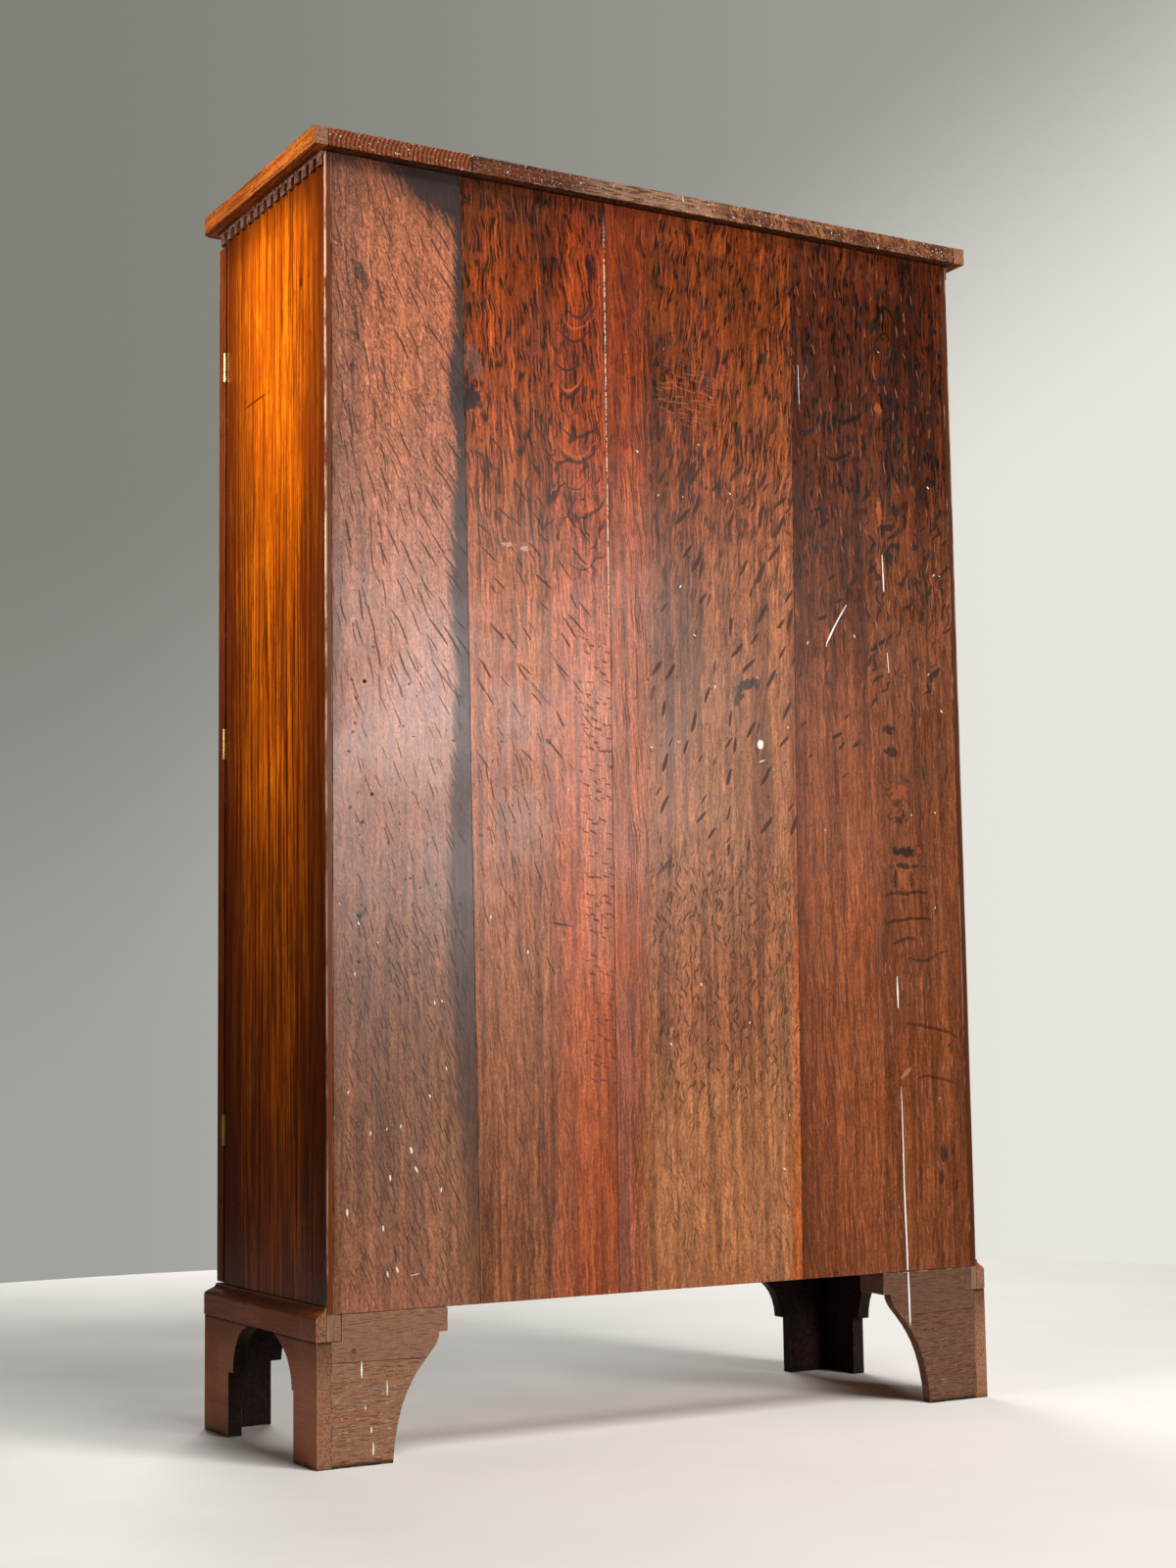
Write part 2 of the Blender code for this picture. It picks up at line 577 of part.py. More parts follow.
def make_door_frame(sign, carrier):
    """Stiles, rails, glass and glazing bars of one door. Returns the meeting stile."""
    side = side_name(sign)
    meeting, outer = door_edges()
    depths = (DOOR_REAR, DOOR_FRONT)
    inside = (meeting + STILE_WIDTH, outer - STILE_WIDTH)
    sight_zs = (DOOR_BOTTOM + BOTTOM_RAIL_WIDTH, DOOR_TOP - TOP_RAIL_WIDTH)
    glass_depths = (GLASS_FRONT - GLASS_THICKNESS, GLASS_FRONT)
    seat = GLASS_GROOVE - FIT
    glass = box("glass_" + side, mirrored_pair((inside[0] - seat, inside[1] + seat), sign),
                glass_depths, (sight_zs[0] - seat, sight_zs[1] + seat))
    keep(glass, "glass", carrier)

    def groove(name):
        return box(name, mirrored_pair((inside[0] - GLASS_GROOVE, inside[1] + GLASS_GROOVE), sign),
                   (glass_depths[0] - FIT, glass_depths[1] + FIT),
                   (sight_zs[0] - GLASS_GROOVE, sight_zs[1] + GLASS_GROOVE))

    middle = (DOOR_REAR + DOOR_FRONT) / 2
    tenon_depths = (middle - TENON_THICKNESS / 2, middle + TENON_THICKNESS / 2)
    mortise_depths = (tenon_depths[0] - FIT, tenon_depths[1] + FIT)
    rails = {"top_rail_": (sight_zs[1], DOOR_TOP), "bottom_rail_": (DOOR_BOTTOM, sight_zs[0])}
    tenon_xs = (inside[0] - TENON_LENGTH, inside[1] + TENON_LENGTH)
    for start, zs in rails.items():
        name = start + side
        rail = box(name, mirrored_pair((inside[0] + FIT, inside[1] - FIT), sign), depths, zs)
        shoulders = (zs[0] + TENON_SHOULDER, zs[1] - TENON_SHOULDER)
        tenons = box(name + "_tenons", mirrored_pair(tenon_xs, sign), tenon_depths, shoulders)
        shape(rail, "DIFFERENCE", groove(name + "_groove"))
        keep(shape(rail, "UNION", tenons), "mahogany", carrier)
    stiles = {"hinge_stile_": (inside[1], outer), "meeting_stile_": (meeting, inside[0])}
    for start, xs in stiles.items():
        name = start + side
        stile = box(name, mirrored_pair(xs, sign), depths, (DOOR_BOTTOM, DOOR_TOP))
        shape(stile, "DIFFERENCE", groove(name + "_groove"))
        for rail_start, zs in rails.items():
            mortise = box(name + "_" + rail_start + "mortise",
                          mirrored_pair((tenon_xs[0] - FIT, tenon_xs[1] + FIT), sign), mortise_depths,
                          (zs[0] + TENON_SHOULDER - FIT, zs[1] - TENON_SHOULDER + FIT))
            shape(stile, "DIFFERENCE", mortise)
        keep(stile, "mahogany", carrier)
    bars = extrusion("glazing_bars_" + side, mirrored(bar_outline(inside, sight_zs), sign), "Y",
                     -(DOOR_FRONT - BAR_SETBACK), -(GLASS_FRONT + FIT))
    keep(bars, "mahogany", carrier)
    return stile


def bar_outline(xs, zs):
    """One upright bar crossed by level ones, which end just short of the frame."""
    left, right = xs[0] + FIT, xs[1] - FIT
    bottom, top = zs[0] + FIT, zs[1] - FIT
    upright = ((xs[0] + xs[1] - BAR_WIDTH) / 2, (xs[0] + xs[1] + BAR_WIDTH) / 2)
    row = (zs[1] - zs[0]) / PANE_ROWS
    crossings = [zs[0] + row * i for i in range(1, PANE_ROWS)]
    half = BAR_WIDTH / 2
    outline = [(upright[1], bottom)]
    for z in crossings:
        outline += [(upright[1], z - half), (right, z - half), (right, z + half), (upright[1], z + half)]
    outline += [(upright[1], top), (upright[0], top)]
    for z in crossings[::-1]:
        outline += [(upright[0], z + half), (left, z + half), (left, z - half), (upright[0], z - half)]
    return outline + [(upright[0], bottom)]


def knuckle_outline():
    """Section of a leaf rolled round the pin, with the pin at the origin and the leaf towards -X."""
    inner_face = LEAF_GAP / 2
    tail = -(KNUCKLE_RADIUS + HINGE_CLEARANCE + LEAF_THICKNESS)
    meets = math.degrees(math.asin(inner_face / KNUCKLE_RADIUS))
    roll = arc((0.0, 0.0), KNUCKLE_RADIUS, 90, -180 - meets, ROUND_SEGMENTS)
    return [(tail, KNUCKLE_RADIUS), *roll, (tail, inner_face)]


def leaf_mesh(name, own, turned):
    """One leaf of a hinge: its plate and its own knuckles, joined. The turned leaf lies towards -Y."""
    side = -1 if turned else 1
    plate_xs = (-LEAF_WIDTH, -(KNUCKLE_RADIUS + HINGE_CLEARANCE))
    faces = (-side * KNUCKLE_RADIUS, -side * LEAF_GAP / 2)
    leaf = box(name, plate_xs, faces, (-HINGE_LENGTH / 2, HINGE_LENGTH / 2))
    outline = [(x, side * y) for x, y in knuckle_outline()]
    bore = arc((0.0, 0.0), PIN_RADIUS + PIN_CLEARANCE, 0, 360, ROUND_SEGMENTS)[:-1]
    pitch = HINGE_LENGTH / KNUCKLES
    joined = []
    for number in own:
        low = -HINGE_LENGTH / 2 + number * pitch
        joined.append(extrusion(f"{name}_knuckle_{number}", outline, "Z", low + FIT / 2,
                                low + pitch - FIT / 2, holes=[bore] if turned else []))
    if not turned:
        joined.append(rod(name + "_pin", PIN_RADIUS, HINGE_LENGTH - 2 * FIT, "Z", (0.0, 0.0, 0.0)))
    for other in joined:
        join = leaf.modifiers.new(other.name, "BOOLEAN")
        join.operation = "UNION"
        join.solver = "EXACT"
        join.object = other
        bpy.context.scene.collection.objects.link(other)
    mesh = settled(leaf)
    for other in joined:
        bpy.data.objects.remove(other, do_unlink=True)
    return mesh


def make_hinges(doors):
    """Three hinges a side; the leaf with the pin is on the case and the other one on the door."""
    fixed = leaf_mesh("hinge_fixed_leaf", range(0, KNUCKLES, 2), False)
    moving = leaf_mesh("hinge_moving_leaf", range(1, KNUCKLES, 2), True)
    for sign, door in doors.items():
        for number, height in enumerate((HINGE_LOW, HINGE_MIDDLE, HINGE_HIGH), 1):
            tail = f"{side_name(sign)}_{number}"
            for start, mesh, carrier in (("case_leaf_", fixed, CABINET), ("door_leaf_", moving, door)):
                leaf = bpy.data.objects.new(start + tail, mesh)
                leaf.location = (sign * HINGE_X, -HINGE_DEPTH, height)
                leaf.rotation_euler.y = 0.0 if sign > 0 else math.pi
                keep(round_shading(leaf), "brass", carrier)


def keyhole_outline(centre):
    """A round hole with a slot below it for the bit of the key."""
    half_slot = BIT_THICKNESS / 2 + KEY_CLEARANCE
    opens = math.degrees(math.asin(half_slot / KEYHOLE_RADIUS))
    turn = arc(centre, KEYHOLE_RADIUS, -90 + opens, 270 - opens, ROUND_SEGMENTS)
    foot = centre[1] - BIT_REACH - KEY_CLEARANCE
    return [*turn, (centre[0] - half_slot, foot), (centre[0] + half_slot, foot)]


def make_lock(door, stile, left_stile):
    """Lock case, bolt, key and escutcheon on the right door, and the mortise in the left one."""
    edge = door_edges()[0]
    case_xs = (edge + FIT, edge + FIT + LOCK_WIDTH)
    case_zs = (LOCK_HEIGHT - LOCK_LENGTH / 2, LOCK_HEIGHT + LOCK_LENGTH / 2)
    key_x = edge + KEY_INSET
    pocket = box("lock_pocket", (edge - PAST, case_xs[1] + FIT), (DOOR_REAR - PAST, LOCK_FRONT + FIT),
                 (case_zs[0] - FIT, case_zs[1] + FIT))
    keyhole = extrusion("stile_keyhole", keyhole_outline((key_x, KEY_Z)), "Y",
                        -DOOR_FRONT - PAST, -LOCK_FRONT + PAST)
    shape(stile, "DIFFERENCE", pocket, keyhole)
    chamber_depths = (DOOR_REAR + CHAMBER_WALL, LOCK_FRONT)
    chamber = rod("lock_chamber", BIT_REACH + 2 * KEY_CLEARANCE, LOCK_FRONT - chamber_depths[0] + PAST, "Y",
                  (key_x, -(chamber_depths[0] + LOCK_FRONT + PAST) / 2, KEY_Z))
    bolt_middle = (DOOR_REAR + LOCK_FRONT) / 2
    bolt_depths = (bolt_middle - BOLT_THICKNESS / 2, bolt_middle + BOLT_THICKNESS / 2)
    bolt_z = LOCK_HEIGHT + BOLT_RISE
    bolt_zs = (bolt_z - BOLT_HEIGHT / 2, bolt_z + BOLT_HEIGHT / 2)
    run_depths = (bolt_depths[0] - FIT, bolt_depths[1] + FIT)
    run_zs = (bolt_zs[0] - FIT, bolt_zs[1] + FIT)
    channel = box("lock_channel", (edge - PAST, case_xs[0] + BOLT_LENGTH + FIT), run_depths, run_zs)
    case = box("lock_case", case_xs, (DOOR_REAR, LOCK_FRONT), case_zs)
    keep(shape(case, "DIFFERENCE", channel, chamber), "brass", door)
    keep(box("lock_bolt", (case_xs[0], case_xs[0] + BOLT_LENGTH), bolt_depths, bolt_zs), "brass", door)
    mortise_end = case_xs[0] - BOLT_THROW - 2 * FIT
    mortise = box("lock_mortise", (mortise_end, -edge + PAST), run_depths, run_zs)
    shape(left_stile, "DIFFERENCE", mortise)
    plate = [(key_x + ESCUTCHEON_WIDTH / 2 * x, KEY_Z - BIT_REACH / 2 + ESCUTCHEON_HEIGHT / 2 * z)
             for x, z in arc((0.0, 0.0), 1.0, 0, 360, 2 * ROUND_SEGMENTS)[:-1]]
    face = -DOOR_FRONT - FIT
    escutcheon = extrusion("escutcheon", plate, "Y", face - ESCUTCHEON_THICKNESS, face,
                           holes=[keyhole_outline((key_x, KEY_Z))])
    keep(round_shading(escutcheon), "brass", door)
    make_key(door, key_x, chamber_depths)


def make_key(door, key_x, chamber_depths):
    """The key in its lock: a round shank with a collar, a ring for a bow, and a bit pointing down."""
    tip = chamber_depths[0] + KEY_CLEARANCE
    bow_depth = DOOR_FRONT + KEY_BOW_STANDOFF
    shank_end = bow_depth - KEY_BOW_RADIUS + KEY_BOW_WIRE / 2
    shank = rod("key", KEY_RADIUS, shank_end - tip, "Y", (key_x, -(shank_end + tip) / 2, KEY_Z))
    collar_depth = DOOR_FRONT + ESCUTCHEON_THICKNESS + 2 * FIT + KEY_COLLAR_LENGTH / 2
    collar = rod("key_collar", KEY_COLLAR_RADIUS, KEY_COLLAR_LENGTH, "Y", (key_x, -collar_depth, KEY_Z))
    bit = box("key_bit", (key_x - BIT_THICKNESS / 2, key_x + BIT_THICKNESS / 2),
              (tip + KEY_CLEARANCE, tip + KEY_CLEARANCE + BIT_LENGTH), (KEY_Z - BIT_REACH, KEY_Z))
    bpy.ops.mesh.primitive_torus_add(major_radius=KEY_BOW_RADIUS, minor_radius=KEY_BOW_WIRE,
                                     major_segments=KEY_BOW_SEGMENTS, minor_segments=KEY_WIRE_SEGMENTS)
    bow = bpy.context.object
    bow.name = "key_bow"
    for holder in list(bow.users_collection):
        holder.objects.unlink(bow)
    bow.data.transform(Matrix.Rotation(math.pi / 2, 4, "Y"))
    bow.location = (key_x, -bow_depth, KEY_Z)
    keep(round_shading(shape(shank, "UNION", collar, bow, bit)), "iron", door)


def make_door_bolt(door, stile):
    """The flat bolt at the top of the left door, in a slot that is wider below its face."""
    tail = DOOR_TOP - DOOR_BOLT_LENGTH
    zs = (tail, DOOR_TOP - FIT)
    neck_depth = DOOR_REAR + DOOR_BOLT_THICKNESS
    flange_depth = neck_depth + DOOR_BOLT_THICKNESS
    bolt = box("door_bolt", door_bolt_xs(DOOR_BOLT_WIDTH), (neck_depth, flange_depth), zs)
    neck = box("door_bolt_neck", door_bolt_xs(DOOR_BOLT_NECK), (DOOR_REAR, neck_depth + FIT), zs)
    middle = sum(door_bolt_xs(0.0)) / 2
    knob = rod("door_bolt_knob", BOLT_KNOB_RADIUS, BOLT_KNOB_LENGTH, "Y",
               (middle, -(DOOR_REAR - BOLT_KNOB_LENGTH / 2 + DOOR_BOLT_THICKNESS), DOOR_TOP - BOLT_KNOB_DROP))
    keep(shape(bolt, "UNION", neck, knob), "brass", door)
    slot_zs = (tail - FIT, DOOR_TOP + PAST)
    wide = box("door_bolt_slot", door_bolt_xs(DOOR_BOLT_WIDTH + 2 * FIT),
               (neck_depth - FIT, flange_depth + FIT), slot_zs)
    narrow_width = max(DOOR_BOLT_NECK, 2 * BOLT_KNOB_RADIUS) + 4 * FIT
    narrow = box("door_bolt_mouth", door_bolt_xs(narrow_width), (DOOR_REAR - PAST, neck_depth), slot_zs)
    shape(stile, "DIFFERENCE", wide, narrow)


clear_scene()
MATERIALS = {
    "mahogany": principled("mahogany", (0.30, 0.10, 0.03), 0.30),
    "oak": principled("oak", (0.20, 0.08, 0.045), 0.45),
    "brass": principled("brass", (0.75, 0.55, 0.25), 0.35, metallic=1.0),
    "iron": principled("iron", (0.20, 0.19, 0.18), 0.45, metallic=1.0),
    "glass": principled("glass", (0.95, 0.97, 0.96), 0.03, transmission=1.0),
}
CABINET = empty("cabinet_footprint", (0.0, FOOTPRINT_SHIFT, 0.0))
DOORS = {sign: empty("hinge_axis_" + side_name(sign), (sign * HINGE_X, -HINGE_DEPTH, 0.0), CABINET)
         for sign in (1, -1)}
make_top()
make_case()
make_frieze()
make_base_moulding()
make_front_feet()
make_rear_feet()
STILES = {sign: make_door_frame(sign, door) for sign, door in DOORS.items()}
make_hinges(DOORS)
make_lock(DOORS[1], STILES[1], STILES[-1])
make_door_bolt(DOORS[-1], STILES[-1])
bpy.context.view_layer.update()
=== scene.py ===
"""Looks of a display cabinet of mahogany and oak, seen from behind: finishes, small fittings and stage.

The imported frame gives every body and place. Lengths are metres, +Z is up, the doors face -Y.
"""

import json
import math
import random
from typing import NamedTuple

import bmesh
import bpy
from bpy.props import FloatProperty, FloatVectorProperty, PointerProperty
from mathutils import Matrix, Vector

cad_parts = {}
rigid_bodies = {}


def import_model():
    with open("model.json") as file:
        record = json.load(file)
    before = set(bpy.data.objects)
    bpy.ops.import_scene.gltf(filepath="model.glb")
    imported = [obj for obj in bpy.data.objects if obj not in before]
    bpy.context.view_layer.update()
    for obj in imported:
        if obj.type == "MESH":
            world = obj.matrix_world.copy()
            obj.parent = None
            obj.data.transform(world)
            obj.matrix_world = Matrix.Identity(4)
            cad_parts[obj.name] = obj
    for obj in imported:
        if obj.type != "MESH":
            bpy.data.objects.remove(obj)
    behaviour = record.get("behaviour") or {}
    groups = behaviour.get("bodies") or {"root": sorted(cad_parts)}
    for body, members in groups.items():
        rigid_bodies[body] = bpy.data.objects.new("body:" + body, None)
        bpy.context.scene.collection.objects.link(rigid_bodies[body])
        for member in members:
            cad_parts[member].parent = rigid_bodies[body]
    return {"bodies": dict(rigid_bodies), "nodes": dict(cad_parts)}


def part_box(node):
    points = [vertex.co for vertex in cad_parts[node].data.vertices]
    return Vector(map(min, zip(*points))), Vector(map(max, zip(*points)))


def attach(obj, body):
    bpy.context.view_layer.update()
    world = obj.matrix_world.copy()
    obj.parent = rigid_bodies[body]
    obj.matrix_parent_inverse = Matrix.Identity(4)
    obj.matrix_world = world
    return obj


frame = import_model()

bl_info = {
    "name": "Display Cabinet Looks",
    "version": (1, 0, 0),
    "blender": (4, 5, 0),
    "location": "View3D > Sidebar > Cabinet",
    "description": "Finishes a packed display cabinet with worn oak, polished mahogany, brass and glass",
    "category": "Object",
}


def clear_start_up_objects():
    """Removes what a new Blender file holds, so that only the frame is left."""
    kept = set(frame["nodes"].values()) | set(frame["bodies"].values())
    for stray in set(bpy.data.objects) - kept:
        bpy.data.objects.remove(stray)


clear_start_up_objects()
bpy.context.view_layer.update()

# Places read from the frame
NODES = frame["nodes"]
BACK_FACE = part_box("back_board_1")[1].y
BACK_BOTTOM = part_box("back_board_1")[0].z
BACK_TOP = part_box("back_board_1")[1].z
FOOT_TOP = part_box("side_rear_bracket_right")[1].z
DOOR_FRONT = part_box("hinge_stile_right")[0].y
DOOR_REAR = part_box("hinge_stile_right")[1].y

# The two hands and the way each lies along X
HANDS = (("right", 1), ("left", -1))


def shade(red, green, blue):
    """A colour as a paint chart gives it, 0 to 255, turned into Blender's linear values."""
    def linear(part):
        part /= 255
        return part / 12.92 if part <= 0.04045 else ((part + 0.055) / 1.055) ** 2.4
    return tuple(linear(part) for part in (red, green, blue))


def colour_property(name, description, red, green, blue):
    """A colour that a user may change."""
    return FloatVectorProperty(
        name=name, description=description, default=shade(red, green, blue),
        size=3, min=0, max=1, subtype="COLOR",
    )


def length_property(name, description, metres):
    """A length that a user may change."""
    return FloatProperty(name=name, description=description, default=metres, min=0, unit="LENGTH")


def power_property(name, description, watts):
    """The power of a lamp, which a user may change."""
    return FloatProperty(name=name, description=description, default=watts, min=0, unit="POWER")


class CabinetFinish(bpy.types.PropertyGroup):
    """Colours of the woods, metals, glass and marks."""

    oak_pink: colour_property("Pale oak", "Bleached pinkish oak of the first back board", 188, 115, 82)
    oak_red: colour_property("Red oak", "Straight-grained reddish oak", 162, 80, 43)
    oak_orange: colour_property("Orange oak", "Glowing orange streaks", 182, 91, 37)
    oak_brown: colour_property("Brown oak", "Quartered brown oak", 144, 84, 50)
    oak_umber: colour_property("Dark oak", "Dark red-brown oak", 94, 46, 20)
    oak_russet: colour_property("Russet oak", "Reddish brown oak of the last back board", 122, 66, 35)
    oak_tan: colour_property("Tan oak", "Golden tan streaks", 172, 116, 76)
    oak_grey: colour_property("Grey oak", "Greyed purplish wax", 118, 84, 72)
    oak_dry: colour_property("Dry oak", "Unpolished oak of the rear feet", 132, 98, 77)
    oak_inside: colour_property("Inside oak", "Clean oak of shelves and bottom", 150, 100, 62)
    fleck: colour_property("Fleck", "Dark rays in the oak", 52, 25, 15)
    stain: colour_property("Stain", "Brown-black iron stain", 30, 25, 24)
    # Warm painted shade multiplied over the upper back boards
    varnish: colour_property("Old varnish", "Warm glaze on the upper back boards", 244, 196, 122)
    paint: colour_property("Paint", "Splashed pale paint", 224, 221, 212)
    wear: colour_property("Wear", "Bare wood on rubbed edges", 206, 172, 146)
    mahogany_light: colour_property("Light mahogany", "Light ribbons of polished mahogany", 238, 118, 6)
    mahogany_dark: colour_property("Dark mahogany", "Dark ribbons of polished mahogany", 150, 56, 2)
    mahogany_red: colour_property("Red mahogany", "Reddish mahogany of base and edges", 96, 40, 18)
    mahogany_shadow: colour_property("Deep mahogany", "Deepest lines of the mahogany", 60, 18, 2)
    door_light: colour_property("Light door", "Light tone of the door frames", 124, 54, 18)
    door_dark: colour_property("Dark door", "Dark tone of the door frames", 78, 31, 10)
    edge_light: colour_property("Light edge", "Light tone of the top's lippings", 176, 94, 34)
    edge_dark: colour_property("Dark edge", "Dark tone of the top's lippings", 118, 56, 20)
    base_light: colour_property("Base mahogany", "Brown mahogany of the bracket feet", 190, 112, 72)
    base_brown: colour_property("Brown base", "Darker mahogany of the bracket feet", 122, 66, 40)
    base_red: colour_property("Red base", "Red-brown of the base moulding", 150, 74, 32)
    base_dark: colour_property("Dark base", "Dark mahogany of the base moulding", 104, 46, 18)
    end_grain: colour_property("End grain", "Greyed end grain", 132, 100, 78)
    # Real dark marks on the last board, and painted shade in shut corners, under the base moulding and on
    # the inner faces of the feet
    grime: colour_property("Grime", "Black dirt in shut corners", 12, 6, 4)
    dust: colour_property("Dust", "Grey dust in mouldings", 164, 146, 132)
    brass: colour_property("Brass", "Rubbed brass", 214, 172, 96)
    tarnish: colour_property("Tarnish", "Brown tarnish on brass", 96, 66, 32)
    iron: colour_property("Iron", "Worn iron", 92, 86, 80)
    rust: colour_property("Rust", "Brown rust on iron", 58, 36, 24)
    glass: colour_property("Glass", "Faint green of old glass", 244, 250, 246)
    putty: colour_property("Putty", "Aged glazing putty", 112, 78, 52)


class CabinetSizes(bpy.types.PropertyGroup):
    """Sizes of the softened edges and the small fittings."""

    board_arris: length_property("Board arris", "Rounding of board edges", 0.0012)
    top_arris: length_property("Top arris", "Rounding of the top's edges", 0.0022)
    small_arris: length_property("Small arris", "Rounding of dentils and brackets", 0.0008)
    metal_arris: length_property("Metal arris", "Rounding of brass and iron", 0.0003)
    bar_round: length_property("Bar rounding", "Rounding of the glazing bars", 0.0042)
    nail_radius: length_property("Nail radius", "Radius of a nail head", 0.0026)
    screw_radius: length_property("Screw radius", "Radius of a hinge screw head", 0.0027)
    pin_radius: length_property("Pin radius", "Radius of an escutcheon pin", 0.0012)
    moulding_width: length_property("Sash moulding", "Width of the moulding round the glass", 0.009)
    putty_width: length_property("Putty width", "Width of the putty behind the glass", 0.007)
    run_width: length_property("Paint run", "Half width of a run of paint", 0.0011)


class CabinetStage(bpy.types.PropertyGroup):
    """The floor, the wall behind and the lamps."""

    floor: colour_property("Floor", "Pale floor", 238, 234, 227)
    wall_bright: colour_property("Bright wall", "Lit end of the wall", 230, 228, 220)
    wall_dim: colour_property("Dim wall", "Shaded end of the wall", 160, 161, 155)
    wall_shade: colour_property("Wall shade", "Shade high up on the wall", 118, 118, 110)
    stage_radius: length_property("Stage radius", "Distance from the cabinet to the wall", 2.42)
    wall_height: length_property("Wall height", "Height of the wall", 9.0)
    back_lamp: power_property("Back lamp", "Lamp that lights the back", 145)
    key_lamp: power_property("Key lamp", "High lamp in front of the back", 190)
    side_lamp: power_property("Side lamp", "Lamp near the top of the right side", 8)
    front_lamp: power_property("Front lamp", "Lamp that lights the doors", 140)
    sky: FloatProperty(
        name="Sky", description="Strength of the light from all round", default=0.04, min=0)


def finish():
    """The finish colours of the scene."""
    return bpy.context.scene.cabinet_finish


def sizes():
    """The fitting sizes of the scene."""
    return bpy.context.scene.cabinet_sizes


class Graph:
    """Adds nodes to one node tree and links their sockets as they come."""

    def __init__(self, tree):
        self.tree = tree

    def feed(self, socket, value):
        """Links another socket to this one, or sets its plain value."""
        if isinstance(value, bpy.types.NodeSocket):
            self.tree.links.new(value, socket)
        elif isinstance(value, (int, float)):
            socket.default_value = value
        elif socket.type == "RGBA":
            socket.default_value = (*value[:3], 1.0)
        else:
            socket.default_value = tuple(value)

    def add(self, kind, inputs=(), **settings):
        """A new node with its settings and inputs."""
        node = self.tree.nodes.new("ShaderNode" + kind)
        for name, value in settings.items():
            setattr(node, name, value)
        for key, value in dict(inputs).items():
            self.feed(node.inputs[key], value)
        return node

    def math(self, operation, *values, clamp=False):
        """The result of one sum on numbers."""
        return self.add("Math", enumerate(values), operation=operation, use_clamp=clamp).outputs[0]

    def times(self, first, *others):
        """Numbers multiplied with each other."""
        for other in others:
            first = self.math("MULTIPLY", first, other)
        return first

    def plus(self, base, value, gain):
        """A number with a share of another one added."""
        return self.math("MULTIPLY_ADD", value, gain, base)

    def minus(self, first, second):
        """One number less another."""
        return self.math("SUBTRACT", first, second)

    def vector(self, operation, *values):
        """The result of one sum on vectors."""
        node = self.add("VectorMath", enumerate(values), operation=operation)
        return node.outputs["Value" if operation == "DOT_PRODUCT" else "Vector"]

    def split(self, vector):
        """The three parts of a vector."""
        return self.add("SeparateXYZ", {0: vector}).outputs

    def join(self, x, y, z):
        """A vector of three parts."""
        return self.add("CombineXYZ", {0: x, 1: y, 2: z}).outputs[0]

    def facing(self):
        """The three parts of the way the surface faces."""
        return self.split(self.add("TexCoord").outputs["Normal"])

    def turn(self, x, z, angle):
        """A place along and across a direction that leans by an angle from the third axis."""
        sine = self.math("SINE", angle)
        cosine = self.math("COSINE", angle)
        along = self.plus(self.times(z, cosine), x, sine)
        return along, self.minus(self.times(x, cosine), self.times(z, sine))

    def square_sum(self, first, second):
        """The sum of two squares."""
        return self.plus(self.times(second, second), first, first)

    def mix(self, factor, first, second, blend="MIX"):
        """Two colours mixed."""
        node = self.add("Mix", {0: factor, 6: first, 7: second}, data_type="RGBA", blend_type=blend)
        return node.outputs[2]

    def tint(self, colour, other, *masks):
        """A colour covered by another one as far as all the masks let it."""
        return self.mix(self.times(*masks), colour, other)

    def scale(self, colour, tone, share=1.0):
        """A colour multiplied by a tone."""
        return self.mix(share, colour, tone, "MULTIPLY")

    def span(self, value, low, high):
        """How far a value has come on its way from low to high."""
        return self.add("MapRange", {0: value, 1: low, 2: high}).outputs[0]

    def between(self, value, low, high, start=0.0, end=1.0):
        """A smooth step from start to end while the value goes from low to high."""
        inputs = {0: value, 1: low, 2: high, 3: start, 4: end}
        return self.add("MapRange", inputs, interpolation_type="SMOOTHSTEP").outputs[0]

    def window(self, value, low, high, soft):
        """One inside a range and nought outside it, with soft ends."""
        rise = self.between(value, low - soft, low + soft)
        return self.times(rise, self.between(value, high + soft, high - soft))

    def ramp(self, value, stops):
        """Colours or numbers strung along a value from nought to one."""
        node = self.add("ValToRGB", {0: value})
        elements = node.color_ramp.elements
        while len(elements) < len(stops):
            elements.new(1.0)
        for element, stop in zip(elements, stops):
            element.position = stop[0]
        for element, (_, colour) in zip(elements, stops):
            element.color = (colour,) * 3 + (1,) if isinstance(colour, float) else (*colour, 1)
        return node.outputs["Color"]

    def noise(self, vector, scale, detail=2.0, roughness=0.5):
        """Soft noise from nought to one."""
        inputs = {"Vector": vector, "Scale": scale, "Detail": detail, "Roughness": roughness}
        return self.add("TexNoise", inputs).outputs[0]

    def sway(self, vector, scale, detail=1.0):
        """Soft noise about nought."""
        return self.minus(self.noise(vector, scale, detail), 0.5)

    def group(self, name, inputs):
        """The outputs of a shared group with these inputs."""
        node = self.add("Group", node_tree=bpy.data.node_groups[name])
        for key, value in inputs.items():
            self.feed(node.inputs[key], value)
        return node.outputs

    def streaks(self, place, across, along, seed=0.0, detail=2.0):
        """Long soft streaks along the third axis of a place."""
        inputs = {"Position": place, "Across": across, "Along": along, "Seed": seed, "Detail": detail}
        return self.group("grain_streaks", inputs)["Value"]

    def grime(self, place, reach):
        """A patchy mask of shut corners: painted shade on the woods, tarnish on the metals."""
        return self.group("corner_grime", {"Position": place, "Reach": reach})["Mask"]

    def wear(self, place, radius, broken):
        """Rubbed edges: the broken mask and the whole edge."""
        return self.group("edge_wear", {"Position": place, "Radius": radius, "Broken": broken})


def start_group(name, inputs, outputs):
    """An empty shared group: its graph, its input sockets and its output node."""
    tree = bpy.data.node_groups.new(name, "ShaderNodeTree")
    for label, value in inputs.items():
        kind = "NodeSocketFloat" if isinstance(value, float) else "NodeSocketVector"
        tree.interface.new_socket(label, in_out="INPUT", socket_type=kind).default_value = value
    for label in outputs:
        tree.interface.new_socket(label, in_out="OUTPUT", socket_type="NodeSocketFloat")
    graph = Graph(tree)
    entry = tree.nodes.new("NodeGroupInput")
    leave = tree.nodes.new("NodeGroupOutput")
    return graph, entry.outputs, leave


